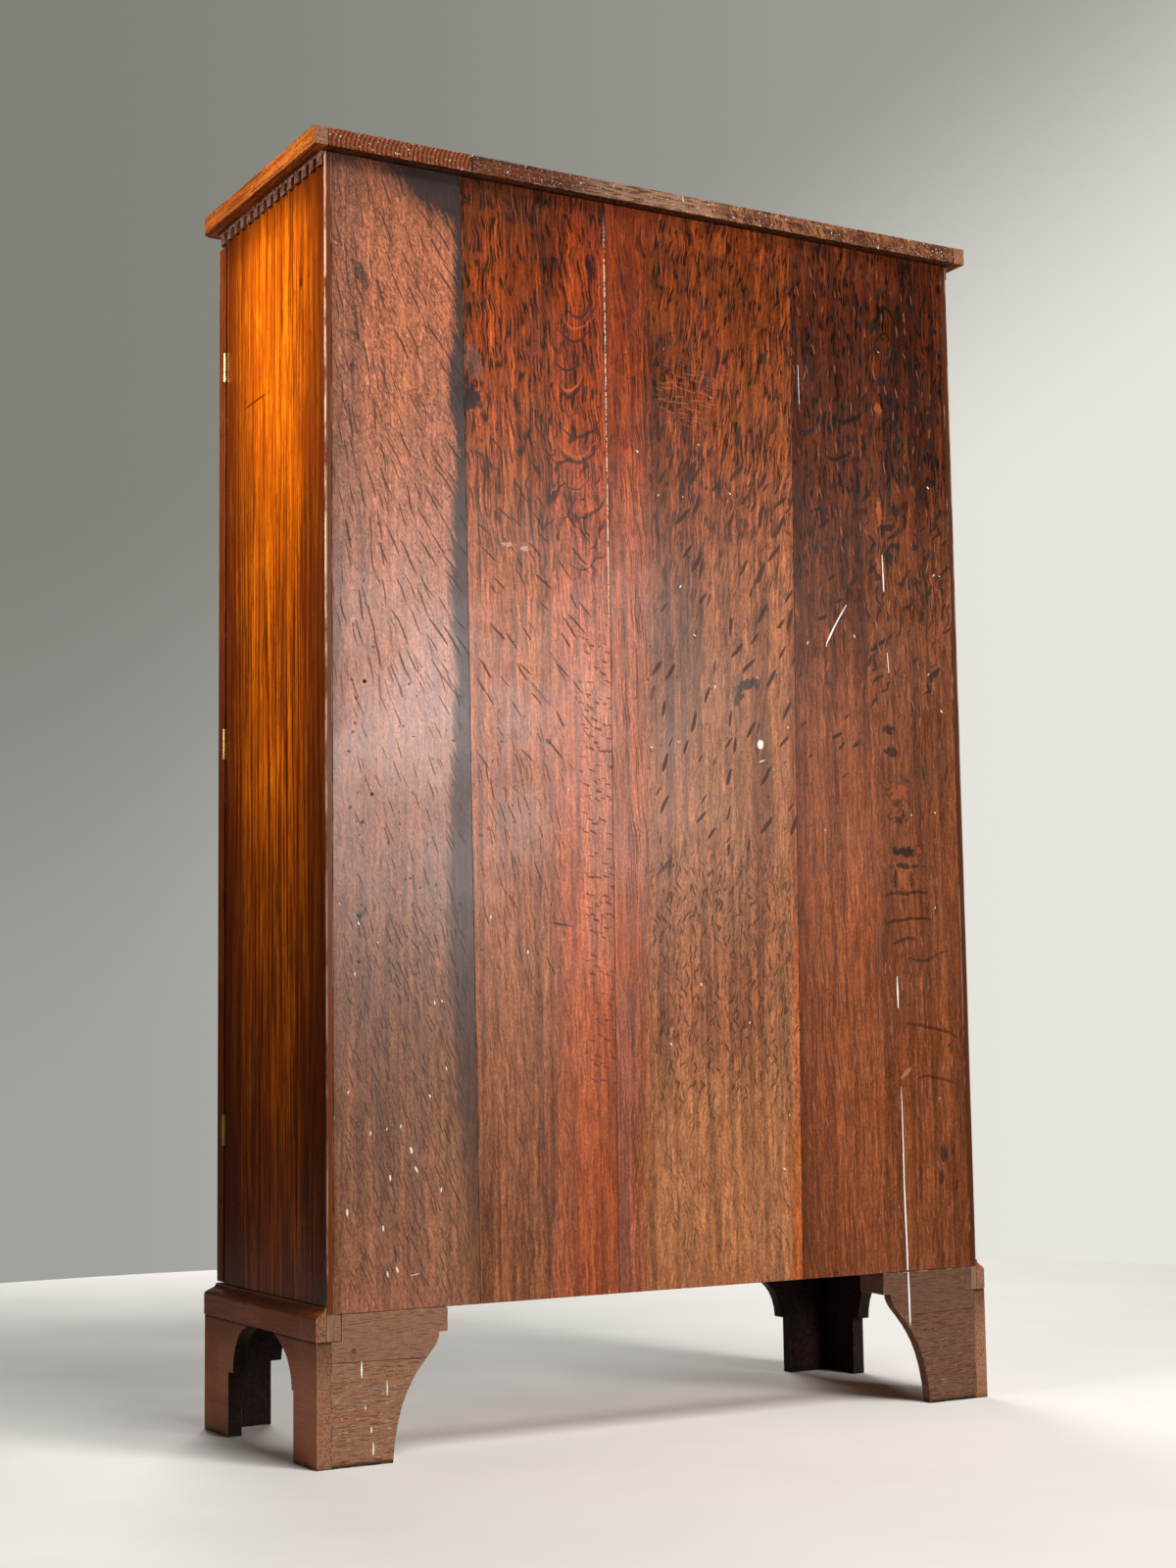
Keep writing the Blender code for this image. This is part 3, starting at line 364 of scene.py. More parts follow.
def make_grain_group():
    """Long soft streaks along the third axis, as annual rings and pores show on a board."""
    graph, given, leave = start_group(
        "grain_streaks",
        {"Position": (0, 0, 0), "Across": 0.01, "Along": 0.3, "Seed": 0.0, "Detail": 2.0},
        ("Value",),
    )
    x, y, z = graph.split(given["Position"])
    stretched = graph.join(
        graph.math("DIVIDE", x, given["Across"]),
        graph.math("DIVIDE", y, given["Across"]),
        graph.math("DIVIDE", z, given["Along"]),
    )
    moved = graph.vector("ADD", stretched, graph.join(given["Seed"], 0.0, given["Seed"]))
    graph.feed(leave.inputs["Value"], graph.noise(moved, 1.0, given["Detail"], 0.6))


def make_ripple_group():
    """Fine wavering lines along the third axis: dark lines, and painted glints on the ridges between them.
    """
    graph, given, leave = start_group(
        "ripple_lines",
        {"Position": (0, 0, 0), "Across": 0.003, "Along": 0.012, "Slant": 0.0, "Seed": 0.0},
        ("Lines", "Ridges"),
    )
    x, _, z = graph.split(given["Position"])
    x = graph.plus(x, graph.sway(given["Position"], 20.0), 0.016)
    x = graph.plus(x, graph.sway(given["Position"], 95.0), 0.0032)
    x = graph.minus(x, graph.times(z, graph.math("TANGENT", given["Slant"])))
    stretched = graph.join(
        graph.math("DIVIDE", x, given["Across"]), given["Seed"], graph.math("DIVIDE", z, given["Along"]))
    wave = graph.noise(stretched, 1.0, 1.0)
    away = graph.math("ABSOLUTE", graph.minus(wave, 0.5))
    broken = graph.between(graph.noise(given["Position"], 48.0), 0.36, 0.54, 0.15, 1.0)
    graph.feed(leave.inputs["Lines"], graph.times(graph.between(away, 0.095, 0.02), broken))
    graph.feed(leave.inputs["Ridges"], graph.between(wave, 0.58, 0.74))


# What brings a sway, which keeps within about a quarter of nought, up to about one
SWAY_GAIN = 4.0


def make_fleck_group():
    """Separate tapering strokes scattered over the plane of the first and third axes."""
    graph, given, leave = start_group(
        "ray_flecks",
        {
            "Position": (0, 0, 0), "Cell Across": 0.01, "Cell Along": 0.05, "Slant": 0.0, "Spread": 0.3,
            "Length": 0.02, "Width": 0.001, "Presence": 0.5, "Wobble": 0.004, "Bends": 16.0, "Seed": 0.0,
        },
        ("Mask",),
    )
    x, _, z = graph.split(given["Position"])
    bend = graph.sway(given["Position"], given["Bends"])
    x = graph.plus(x, bend, graph.times(given["Wobble"], SWAY_GAIN))
    along, across = graph.turn(x, z, given["Slant"])
    cell = graph.join(given["Cell Across"], given["Cell Along"], 1.0)
    place = graph.vector("DIVIDE", graph.join(across, along, 0.0), cell)
    place = graph.vector("ADD", place, graph.join(given["Seed"], given["Seed"], 0.0))
    spots = graph.add("TexVoronoi", {"Vector": place, "Scale": 1.0}, voronoi_dimensions="2D")
    offset = graph.vector("MULTIPLY", graph.vector("SUBTRACT", place, spots.outputs["Position"]), cell)
    dx, dz, _ = graph.split(offset)
    lean, chance, size = graph.add("SeparateColor", {0: spots.outputs["Color"]}).outputs
    along, across = graph.turn(dx, dz, graph.times(graph.minus(lean, 0.5), given["Spread"]))
    size = graph.plus(0.45, size, 0.9)
    along = graph.math("DIVIDE", along, graph.times(given["Length"], size))
    across = graph.math("DIVIDE", across, graph.times(given["Width"], size))
    stroke = graph.between(graph.square_sum(along, across), 1.0, 0.5)
    shown = graph.math("LESS_THAN", chance, given["Presence"])
    graph.feed(leave.inputs["Mask"], graph.times(stroke, shown))


def make_blotch_group():
    """One placed mark with a ragged outline, in the plane of the first and third axes."""
    graph, given, leave = start_group(
        "blotch",
        {"Position": (0, 0, 0), "Centre": (0, 0, 0), "Size": (0.01, 1, 0.01), "Turn": 0.0, "Ragged": 0.5},
        ("Mask",),
    )
    dx, _, dz = graph.split(graph.vector("SUBTRACT", given["Position"], given["Centre"]))
    along, across = graph.turn(dx, dz, given["Turn"])
    wide, _, tall = graph.split(given["Size"])
    reach = graph.square_sum(graph.math("DIVIDE", along, tall), graph.math("DIVIDE", across, wide))
    edge = graph.sway(given["Position"], 160.0, 3.0)
    reach = graph.plus(reach, edge, graph.times(given["Ragged"], SWAY_GAIN))
    graph.feed(leave.inputs["Mask"], graph.between(reach, 1.0, 0.35))


def make_bowl_group():
    """One wavering line bent like a bowl, thin at both ends, in the plane of the first and third axes."""
    graph, given, leave = start_group(
        "bowl_line",
        {
            "Position": (0, 0, 0), "Centre": (0, 0, 0), "Half": 0.03, "Height": 0.02, "Thickness": 0.002,
            "Tilt": 0.0,
        },
        ("Mask",),
    )
    dx, _, dz = graph.split(graph.vector("SUBTRACT", given["Position"], given["Centre"]))
    slow = graph.sway(given["Position"], 28.0)
    dz = graph.plus(dz, slow, 0.012)
    dz = graph.plus(dz, graph.sway(given["Position"], 130.0, 2.0), 0.0024)
    aside = graph.math("DIVIDE", graph.plus(dx, slow, 0.02), given["Half"])
    square = graph.times(aside, aside)
    dz = graph.plus(dz, aside, given["Tilt"])
    away = graph.math("ABSOLUTE", graph.minus(dz, graph.times(given["Height"], square)))
    thick = graph.times(given["Thickness"], graph.between(square, 1.0, 0.2, 0.25, 1.0))
    line = graph.between(graph.math("DIVIDE", away, thick), 1.0, 0.5)
    graph.feed(leave.inputs["Mask"], graph.times(line, graph.between(square, 1.0, 0.75)))


def make_wear_group():
    """Rubbed edges: where the surface turns within a short way, broken up by noise."""
    graph, given, leave = start_group(
        "edge_wear", {"Position": (0, 0, 0), "Radius": 0.002, "Broken": 0.5}, ("Mask", "Edge"))
    rounded = graph.add("Bevel", {"Radius": given["Radius"]}, samples=4).outputs[0]
    plain = graph.add("NewGeometry").outputs["True Normal"]
    edge = graph.between(graph.minus(1.0, graph.vector("DOT_PRODUCT", rounded, plain)), 0.01, 0.16)
    patches = graph.noise(given["Position"], 55.0, 4.0, 0.65)
    patches = graph.between(patches, given["Broken"], graph.math("ADD", given["Broken"], 0.16))
    graph.feed(leave.inputs["Mask"], graph.times(edge, patches))
    graph.feed(leave.inputs["Edge"], edge)


def make_grime_group():
    """Painted shade in corners and under edges, from how shut in the surface is, broken into patches."""
    graph, given, leave = start_group(
        "corner_grime", {"Position": (0, 0, 0), "Reach": 0.012}, ("Mask",))
    opened = graph.add("AmbientOcclusion", {"Distance": given["Reach"]}, samples=4).outputs["AO"]
    patches = graph.noise(given["Position"], 70.0, 3.0)
    shut = graph.times(graph.between(opened, 0.95, 0.35), graph.between(patches, 0.1, 0.6))
    graph.feed(leave.inputs["Mask"], shut)


def make_dust_group():
    """Dust that has settled on upward faces."""
    graph, given, leave = start_group("settled_dust", {"Position": (0, 0, 0), "Amount": 0.5}, ("Mask",))
    up = graph.split(graph.add("NewGeometry").outputs["Normal"])[2]
    patches = graph.noise(given["Position"], 90.0, 4.0, 0.7)
    lying = graph.times(graph.between(up, 0.15, 0.85), graph.between(patches, 0.25, 0.7))
    graph.feed(leave.inputs["Mask"], graph.times(lying, given["Amount"]))


def empty_graph(owner):
    """The graph of a material or world with no nodes yet."""
    owner.use_nodes = True
    owner.node_tree.nodes.clear()
    return Graph(owner.node_tree)


def start_material(name):
    """A new material: itself, its graph, its shader and the place of the shaded point."""
    material = bpy.data.materials.new(name)
    graph = empty_graph(material)
    shader = graph.add("BsdfPrincipled")
    graph.add("OutputMaterial", {"Surface": shader.outputs[0]})
    place = graph.add("TexCoord").outputs["Object"]
    return material, graph, shader, place


def set_bump(graph, shader, height, strength, distance):
    """Feeds a height to the shader's normal."""
    inputs = {"Strength": strength, "Distance": distance, "Height": height}
    graph.feed(shader.inputs["Normal"], graph.add("Bump", inputs).outputs[0])


# Parts of a noise's range: the narrow one that most of it lies in, and one a little wider
NOISE_BODY = (0.36, 0.64)
NOISE_SPREAD = (0.3, 0.7)
# Half the width of the middle zone in X in which marks, painted shade and painted highlights change from one
# hand to the other
MIDDLE_ZONE = 0.1


def on_rear_face(graph, y, face):
    """One on a rear face and nought from a few millimetres inside it."""
    return graph.between(y, face - 0.004, face - 0.002)


def turn_to_grain(graph, place, along):
    """The place with its third axis along the grain."""
    x, y, z = graph.split(place)
    orders = {"X": (z, y, x), "Y": (x, z, y), "Z": (x, y, z)}
    return graph.join(*orders[along])


class Flecks(NamedTuple):
    """One layer of scattered flecks on part of a board, about one in each cell that has any.

    Slant and spread are degrees from upright, plus towards +X. Bends is how often a wobble turns in a metre.
    """

    across: tuple
    up: tuple
    slant: float
    spread: float
    length: float
    width: float
    cell: tuple
    presence: float
    strength: float = 0.8
    colour: str = "fleck"
    wobble: float = 0.004
    bends: float = 16.0


class Ripple(NamedTuple):
    """Fine crackle on part of a board: the size of a wave, its slant in degrees and its reach in X."""

    across: float
    along: float
    slant: float
    strength: float
    reach: tuple


class Wash(NamedTuple):
    """A broad streaky tint over part of a board."""

    across: tuple
    up: tuple
    colour: str
    strength: float
    soft: float = 0.03


class Blotch(NamedTuple):
    """One placed mark on a board, by its middle, its half sizes and its turn in degrees."""

    middle: tuple
    half: tuple
    turn: float = 0.0
    colour: str = "fleck"
    strength: float = 0.7
    ragged: float = 0.4


class Bowl(NamedTuple):
    """A line bent like a bowl, or like an arch where its height is below nought, by its middle point."""

    middle: tuple
    half: float
    height: float
    thick: float = 0.0030
    colour: str = "fleck"
    strength: float = 0.85
    tilt: float = 0.010


class Board(NamedTuple):
    """How one back board looks: tones across it, painted light and shade up it, its ripple, tints, flecks
    and marks.
    """

    tones: tuple
    lean: float
    heights: tuple
    ripples: tuple
    washes: tuple
    flecks: tuple
    blotches: tuple
    bowls: tuple = ()
    # How strongly the warm painted shade near the top is laid on
    varnish: float = 1.0
    streaks: float = 1.0
    sheen: float = 0.12
    # Heights of an edge worn pale with a painted highlight
    rubbed: tuple = (0.0, 0.0)


# Heights between which the warm painted shade of the upper boards grows
PAINTED_TOP_SHADE_RISE = (1.0, 1.6)

# Heights between which the surface grows crackled, how strongly at each, and what a line and a painted glint
# on a ridge add
CRACKLE_RISE = (0.9, 1.45)
CRACKLE_GAIN = (0.4, 1.3)
LINE_GAIN = -0.80
GLINT_GAIN = 0.55

# Steps between the seeds of the boards, per metre, and of the layers of flecks on one board
BOARD_SEEDS = 40
FLECK_SEEDS = 3.7

# Each tone is a place across in X with a colour, and each height a place up in Z with a brightness of
# painted light and shade.
BOARDS = {
    "back_board_1": Board(
        tones=((0.30, "oak_brown"), (0.335, "oak_pink"), (0.495, "oak_pink"), (0.513, "oak_brown")),
        lean=0.0,
        heights=(
            (0.19, 0.60), (0.45, 0.54), (0.75, 0.55), (1.0, 0.62), (1.25, 0.72), (1.4, 0.76), (1.6, 0.75),
            (1.72, 0.42),
        ),
        ripples=(Ripple(0.0026, 0.009, 22, 0.50, (0.3, 0.52)),),
        washes=(
            Wash((0.30, 0.52), (0.19, 0.78), "oak_dry", 0.75, 0.12),
            Wash((0.31, 0.38), (0.20, 0.72), "oak_tan", 0.45),
            Wash((0.465, 0.52), (1.08, 1.73), "oak_grey", 0.45),
        ),
        flecks=(
            Flecks((0.430, 0.52), (1.00, 1.72), 11, 8, 0.026, 0.0013, (0.017, 0.046), 0.9, 0.85),
            Flecks((0.370, 0.450), (1.00, 1.72), 24, 9, 0.026, 0.0013, (0.018, 0.046), 0.9, 0.85),
            Flecks((0.300, 0.390), (1.00, 1.70), 38, 10, 0.026, 0.0014, (0.019, 0.046), 0.9, 0.85),
            Flecks((0.320, 0.500), (0.70, 1.05), 22, 14, 0.014, 0.0009, (0.012, 0.034), 0.55, 0.5),
            Flecks((0.320, 0.500), (0.19, 0.72), 21, 14, 0.013, 0.0010, (0.0065, 0.025), 0.80, 0.72),
            Flecks((0.320, 0.500), (0.20, 1.72), 15, 140, 0.0026, 0.0012, (0.014, 0.018), 0.22, 0.7),
            Flecks((0.345, 0.51), (0.2, 0.74), 10, 60, 0.004, 0.0013, (0.022, 0.03), 0.17, 0.85, "paint"),
        ),
        blotches=(
            Blotch((0.400, 0.235), (0.008, 0.0008), 10, "paint", 0.5),
            Blotch((0.471, 1.562), (0.010, 0.026), 30, "stain", 0.6, 1.0),
            Blotch((0.478, 1.478), (0.005, 0.016), 5, "stain", 0.6, 1.0),
            Blotch((0.484, 1.435), (0.005, 0.014), 0, "stain", 0.6, 1.0),
            Blotch((0.316, 1.414), (0.022, 0.022), 20, "stain", 0.9, 0.7),
            Blotch((0.470, 0.705), (0.003, 0.012), -30, "stain", 0.6, 0.6),
            Blotch((0.365, 0.640), (0.005, 0.006), 0, "oak_pink", 0.5, 1.4),
        ),
        varnish=0.2,
        streaks=0.35,
        sheen=0.17,
    ),
    "back_board_2": Board(
        tones=((0.155, "oak_red"), (0.20, "oak_brown")),
        lean=0.01,
        heights=(
            (0.19, 0.74), (0.4, 0.82), (0.65, 0.94), (1.1, 1.00), (1.4, 0.88), (1.53, 0.76), (1.62, 0.62),
            (1.70, 0.42),
        ),
        ripples=(Ripple(0.0052, 0.070, 4, 0.85, (0.08, 0.33)),),
        washes=(
            Wash((0.20, 0.305), (1.33, 1.66), "oak_orange", 0.60),
            Wash((0.10, 0.19), (1.25, 1.66), "oak_orange", 0.30),
            Wash((0.085, 0.140), (0.19, 0.75), "oak_red", 0.7),
            Wash((0.085, 0.140), (0.62, 1.15), "oak_pink", 0.40),
            Wash((0.14, 0.33), (0.22, 0.70), "oak_grey", 0.35, 0.08),
            Wash((0.14, 0.33), (0.70, 1.10), "oak_red", 0.40, 0.08),
            Wash((0.16, 0.33), (1.00, 1.32), "oak_orange", 0.30, 0.06),
            Wash((0.16, 0.24), (1.20, 1.70), "oak_umber", 0.60, 0.03),
        ),
        flecks=(
            Flecks((0.095, 0.190), (1.18, 1.66), -14, 70, 0.018, 0.0019, (0.022, 0.036), 0.75, 0.85,
                   wobble=0.011, bends=34),
            Flecks((0.12, 0.300), (0.88, 1.42), 42, 24, 0.017, 0.0015, (0.021, 0.038), 0.62),
            Flecks((0.16, 0.300), (0.20, 0.95), 16, 18, 0.014, 0.0009, (0.008, 0.032), 0.60, 0.55),
            Flecks((0.08, 0.140), (0.45, 1.12), 74, 24, 0.010, 0.0015, (0.022, 0.0085), 0.75, 0.6),
            Flecks((0.20, 0.310), (1.20, 1.72), 2, 6, 0.036, 0.0011, (0.009, 0.080), 0.55, 0.65),
            Flecks((0.10, 0.310), (0.20, 1.70), 20, 140, 0.0024, 0.0010, (0.018, 0.021), 0.2, 0.6),
            Flecks((0.10, 0.310), (0.20, 1.30), 20, 90, 0.0030, 0.0010, (0.050, 0.060), 0.2, 0.7, "paint"),
        ),
        blotches=(
            Blotch((0.309, 1.414), (0.020, 0.022), 20, "stain", 0.92, 0.7),
            Blotch((0.304, 1.464), (0.015, 0.028), 20, "oak_grey", 0.45, 0.9),
            Blotch((0.306, 1.455), (0.005, 0.014), 10, "stain", 0.6, 0.7),
            Blotch((0.2965, 1.25), (0.0016, 0.14), 1, "stain", 0.75, 0.2),
            Blotch((0.2860, 1.30), (0.0012, 0.09), -2, "stain", 0.55, 0.2),
            Blotch((0.250, 1.213), (0.012, 0.004), 4, "wear", 0.45, 0.9),
            Blotch((0.225, 1.209), (0.008, 0.004), 4, "wear", 0.45, 0.9),
            Blotch((0.192, 0.943), (0.006, 0.005), 0, "stain", 0.9, 0.2),
            Blotch((0.297, 0.811), (0.005, 0.004), 0, "stain", 0.75),
            Blotch((0.175, 0.692), (0.0022, 0.022), 82, "stain", 0.8, 0.3),
            Blotch((0.205, 1.01), (0.0026, 0.034), 45, "stain", 0.65, 0.3),
            Blotch((0.178, 1.055), (0.0026, 0.030), 40, "stain", 0.65, 0.3),
        ),
        bowls=(
            Bowl((0.135, 1.552), 0.026, 0.026),
            Bowl((0.140, 1.516), 0.034, 0.030),
            Bowl((0.150, 1.470), 0.022, 0.022),
            Bowl((0.146, 1.432), 0.020, 0.020, 0.0040),
            Bowl((0.132, 1.376), 0.036, 0.024),
            Bowl((0.134, 1.340), 0.042, 0.034, 0.0034),
            Bowl((0.128, 1.262), 0.038, 0.028),
            Bowl((0.136, 1.300), 0.030, 0.024, 0.0016),
            Bowl((0.132, 1.190), 0.034, 0.022, 0.0018),
            Bowl((0.138, 1.534), 0.028, 0.027, 0.0024, "oak_orange", 0.4),
            Bowl((0.136, 1.348), 0.036, 0.030, 0.0026, "oak_orange", 0.4),
            Bowl((0.146, 1.440), 0.020, 0.020, 0.0028, "oak_orange", 0.6),
        ),
        rubbed=(1.1, 1.68),
    ),
    "back_board_3": Board(
        tones=((-0.23, "oak_orange"), (-0.212, "oak_brown"), (0.030, "oak_brown"), (0.048, "oak_red")),
        lean=0.026,
        heights=(
            (0.19, 0.92), (0.6, 0.94), (0.9, 0.77), (1.15, 0.80), (1.3, 0.80), (1.5, 0.66), (1.64, 0.48),
            (1.70, 0.52), (1.722, 0.80),
        ),
        ripples=(
            Ripple(0.0042, 0.050, -6, 0.85, (-0.24, 0.035)),
            Ripple(0.0024, 0.090, 3, 0.7, (0.035, 0.10)),
        ),
        washes=(
            Wash((-0.21, 0.02), (0.19, 0.52), "oak_tan", 0.6, 0.05),
            Wash((-0.14, 0.00), (0.62, 1.10), "oak_tan", 0.4, 0.05),
            Wash((-0.215, -0.17), (0.19, 1.3), "oak_tan", 0.35),
            Wash((-0.23, 0.09), (1.66, 1.73), "oak_orange", 0.35, 0.015),
            Wash((-0.06, 0.03), (0.95, 1.50), "oak_umber", 0.5),
            Wash((-0.10, 0.02), (1.30, 1.60), "oak_orange", 0.35, 0.05),
            Wash((0.045, 0.10), (0.19, 0.62), "oak_grey", 0.5, 0.02),
            Wash((0.012, 0.040), (0.95, 1.55), "oak_umber", 0.6, 0.012),
            Wash((0.030, 0.10), (0.75, 1.35), "oak_pink", 0.35),
            Wash((-0.20, 0.03), (0.48, 0.72), "oak_umber", 0.35, 0.05),
        ),
        flecks=(
            Flecks((0.030, 0.10), (0.2, 1.72), 4, 4, 0.045, 0.0007, (0.0040, 0.10), 0.70, 0.5),
            Flecks((-0.23, 0.025), (0.76, 1.40), -26, 44, 0.017, 0.0032, (0.026, 0.042), 0.55, 0.92),
            Flecks((-0.23, -0.03), (1.30, 1.68), -22, 24, 0.015, 0.0036, (0.032, 0.044), 0.42, 0.92),
            Flecks((-0.10, 0.03), (1.30, 1.66), 3, 14, 0.016, 0.0016, (0.007, 0.034), 0.6, 0.6),
            Flecks((-0.23, 0.035), (0.42, 0.80), -4, 50, 0.010, 0.0017, (0.0075, 0.021), 0.85, 0.72,
                   wobble=0.005, bends=60),
            Flecks((-0.23, 0.020), (0.18, 0.40), 28, 16, 0.012, 0.0009, (0.008, 0.026), 0.6, 0.6),
            Flecks((-0.23, 0.060), (0.2, 1.7), 10, 140, 0.0026, 0.0012, (0.02, 0.024), 0.2, 0.7),
            Flecks((-0.085, 0.005), (1.435, 1.475), 84, 34, 0.012, 0.0011, (0.009, 0.016), 0.8, 0.5,
                   "oak_tan"),
            Flecks((-0.22, 0.060), (0.3, 1.5), 10, 120, 0.0024, 0.0010, (0.05, 0.07), 0.2, 0.8, "paint"),
        ),
        blotches=(
            Blotch((-0.135, 1.042), (0.022, 0.009), 25, "stain", 0.85, 0.5),
            Blotch((-0.122, 1.024), (0.006, 0.017), -20, "stain", 0.8, 0.5),
            Blotch((-0.150, 1.046), (0.008, 0.012), 40, "stain", 0.75, 0.5),
            Blotch((-0.158, 0.956), (0.0068, 0.0072), 0, "paint", 0.9, 0.3),
            Blotch((-0.160, 0.932), (0.006, 0.0013), 20, "paint", 0.6, 0.2),
        ),
    ),
    "back_board_4": Board(
        tones=((-0.25, "oak_russet"), (-0.22, "oak_umber")),
        lean=0.0,
        heights=(
            (0.19, 0.76), (0.54, 0.90), (0.75, 0.92), (1.0, 0.78), (1.13, 0.70), (1.33, 0.54), (1.5, 0.44),
            (1.70, 0.44), (1.722, 0.66),
        ),
        ripples=(Ripple(0.0042, 0.052, 0, 0.90, (-0.52, -0.2)),),
        washes=(
            Wash((-0.52, -0.21), (1.675, 1.73), "oak_orange", 0.25, 0.012),
            # Painted shade at the top right of the back
            Wash((-0.52, -0.40), (1.35, 1.75), "fleck", 0.6, 0.04),
            Wash((-0.36, -0.22), (0.19, 1.10), "oak_red", 0.30, 0.04),
            Wash((-0.52, -0.37), (0.19, 1.05), "oak_umber", 0.45, 0.04),
            Wash((-0.37, -0.22), (1.10, 1.66), "oak_umber", 0.35, 0.04),
        ),
        flecks=(
            Flecks((-0.37, -0.21), (0.2, 1.7), 3, 8, 0.034, 0.0011, (0.008, 0.074), 0.6, 0.65),
            Flecks((-0.52, -0.35), (0.98, 1.68), -20, 60, 0.016, 0.0033, (0.020, 0.034), 0.70, 0.80, "grime",
                   wobble=0.010, bends=34),
            Flecks((-0.52, -0.44), (0.2, 0.98), -10, 30, 0.012, 0.0030, (0.034, 0.050), 0.2, 0.65, "grime"),
            Flecks((-0.34, -0.23), (0.9, 1.5), -60, 40, 0.012, 0.0034, (0.034, 0.040), 0.45, 0.8, "grime"),
            Flecks((-0.50, -0.22), (0.2, 1.7), 6, 30, 0.008, 0.0008, (0.016, 0.030), 0.4, 0.4, "oak_pink"),
            Flecks((-0.50, -0.22), (0.2, 1.7), 10, 140, 0.0026, 0.0012, (0.02, 0.024), 0.2, 0.7),
            Flecks((-0.50, -0.22), (0.3, 1.6), 10, 120, 0.0024, 0.0009, (0.05, 0.07), 0.18, 0.8, "paint"),
        ),
        blotches=(
            Blotch((-0.385, 1.48), (0.008, 0.012), 20, "oak_orange", 0.45, 0.9),
            Blotch((-0.382, 1.32), (0.006, 0.022), 0, "oak_orange", 0.5, 0.6),
            Blotch((-0.390, 0.990), (0.013, 0.008), 0, "grime", 0.75, 0.8),
            Blotch((-0.392, 0.956), (0.013, 0.009), 0, "grime", 0.80, 0.8),
            Blotch((-0.405, 0.896), (0.026, 0.022), 0, "grime", 0.55, 1.2),
            Blotch((-0.405, 0.898), (0.018, 0.016), 0, "oak_red", 0.50, 1.2),
            Blotch((-0.402, 0.862), (0.020, 0.013), 0, "grime", 0.70, 0.8),
            Blotch((-0.400, 0.864), (0.012, 0.009), 0, "oak_red", 0.45, 1.2),
            Blotch((-0.418, 0.808), (0.032, 0.009), 0, "grime", 0.85, 0.8),
            Blotch((-0.438, 0.808), (0.007, 0.006), 0, "oak_red", 0.45, 1.0),
            Blotch((-0.412, 0.786), (0.030, 0.005), 0, "grime", 0.75, 0.8),
            Blotch((-0.394, 0.766), (0.004, 0.018), 0, "grime", 0.70, 0.6),
            Blotch((-0.406, 0.768), (0.008, 0.016), 0, "oak_red", 0.50, 0.8),
            Blotch((-0.424, 0.766), (0.004, 0.016), 0, "grime", 0.60, 0.6),
            Blotch((-0.405, 0.480), (0.016, 0.004), 40, "oak_tan", 0.50, 0.6),
            Blotch((-0.425, 0.356), (0.010, 0.016), 0, "oak_umber", 0.60, 0.8),
            Blotch((-0.470, 0.36), (0.008, 0.014), 0, "stain", 0.75, 0.5),
            Blotch((-0.464, 0.325), (0.006, 0.012), 0, "stain", 0.7, 0.5),
        ),
        bowls=(
            Bowl((-0.400, 1.640), 0.030, -0.040, 0.0050, "grime"),
            Bowl((-0.398, 1.600), 0.022, -0.034, 0.0034, "grime"),
            Bowl((-0.400, 1.470), 0.014, -0.024, 0.0030, "grime"),
            Bowl((-0.330, 1.455), 0.026, 0.012, 0.0050, "grime"),
            Bowl((-0.310, 1.395), 0.024, 0.014, 0.0044, "grime"),
            Bowl((-0.415, 0.746), 0.044, -0.003, 0.0034, "grime", 0.6, 0.004),
            Bowl((-0.418, 0.706), 0.046, -0.004, 0.0038, "grime", 0.6, 0.004),
            Bowl((-0.408, 0.678), 0.026, -0.006, 0.0036, "grime", 0.55, 0.003),
            Bowl((-0.455, 0.648), 0.040, 0.006, 0.0030, "grime", 0.55, 0.006),
            Bowl((-0.455, 0.546), 0.050, -0.006, 0.0032, "grime", 0.55, -0.010),
            Bowl((-0.460, 0.470), 0.038, -0.004, 0.0030, "grime", 0.5, -0.004),
        ),
    ),
}

# Width of the black stain along the first joint, by height from the board's bottom to its top
STAIN_WIDEST = 0.05
STAIN_WIDTHS = (
    (0.0, 0.05), (0.05, 0.2), (0.12, 0.46), (0.28, 0.74), (0.41, 0.66), (0.54, 0.36), (0.62, 0.50),
    (0.68, 0.40), (0.76, 0.24), (0.785, 0.48), (0.82, 0.44), (0.85, 0.24), (0.92, 0.22), (1.0, 0.3),
)
STAIN_STRENGTHS = ((0.0, 0.2), (0.2, 0.66), (0.5, 0.80), (0.62, 0.88), (1.0, 0.92))
JOINT_TOP = 0.320
JOINT_BOTTOM = 0.304


def stain_mask(graph, place, mottle):
    """Black iron stain along the first joint, spreading under the top."""
    x, _, z = graph.split(place)
    height = graph.span(z, BACK_BOTTOM, BACK_TOP)
    joint = graph.plus(JOINT_BOTTOM, height, JOINT_TOP - JOINT_BOTTOM)
    away = graph.minus(x, joint)
    width = graph.times(graph.ramp(height, STAIN_WIDTHS), STAIN_WIDEST)
    sheared = graph.join(graph.plus(x, z, -0.45), 0.0, z)
    ragged = graph.plus(-0.018, graph.streaks(sheared, 0.004, 0.04, detail=3.0), 0.036)
    ragged = graph.plus(ragged, graph.minus(mottle, 0.5), 0.020)
    band = graph.between(graph.minus(graph.math("ADD", away, ragged), width), 0.008, -0.005)
    drop = graph.minus(BACK_TOP, z)
    reach = graph.between(x, 0.465, 0.335, 0.0, 0.072)
    corner = graph.between(graph.plus(graph.minus(drop, reach), ragged, 2.6), 0.020, -0.020)
    return graph.times(graph.math("MAXIMUM", band, corner), graph.ramp(height, STAIN_STRENGTHS))


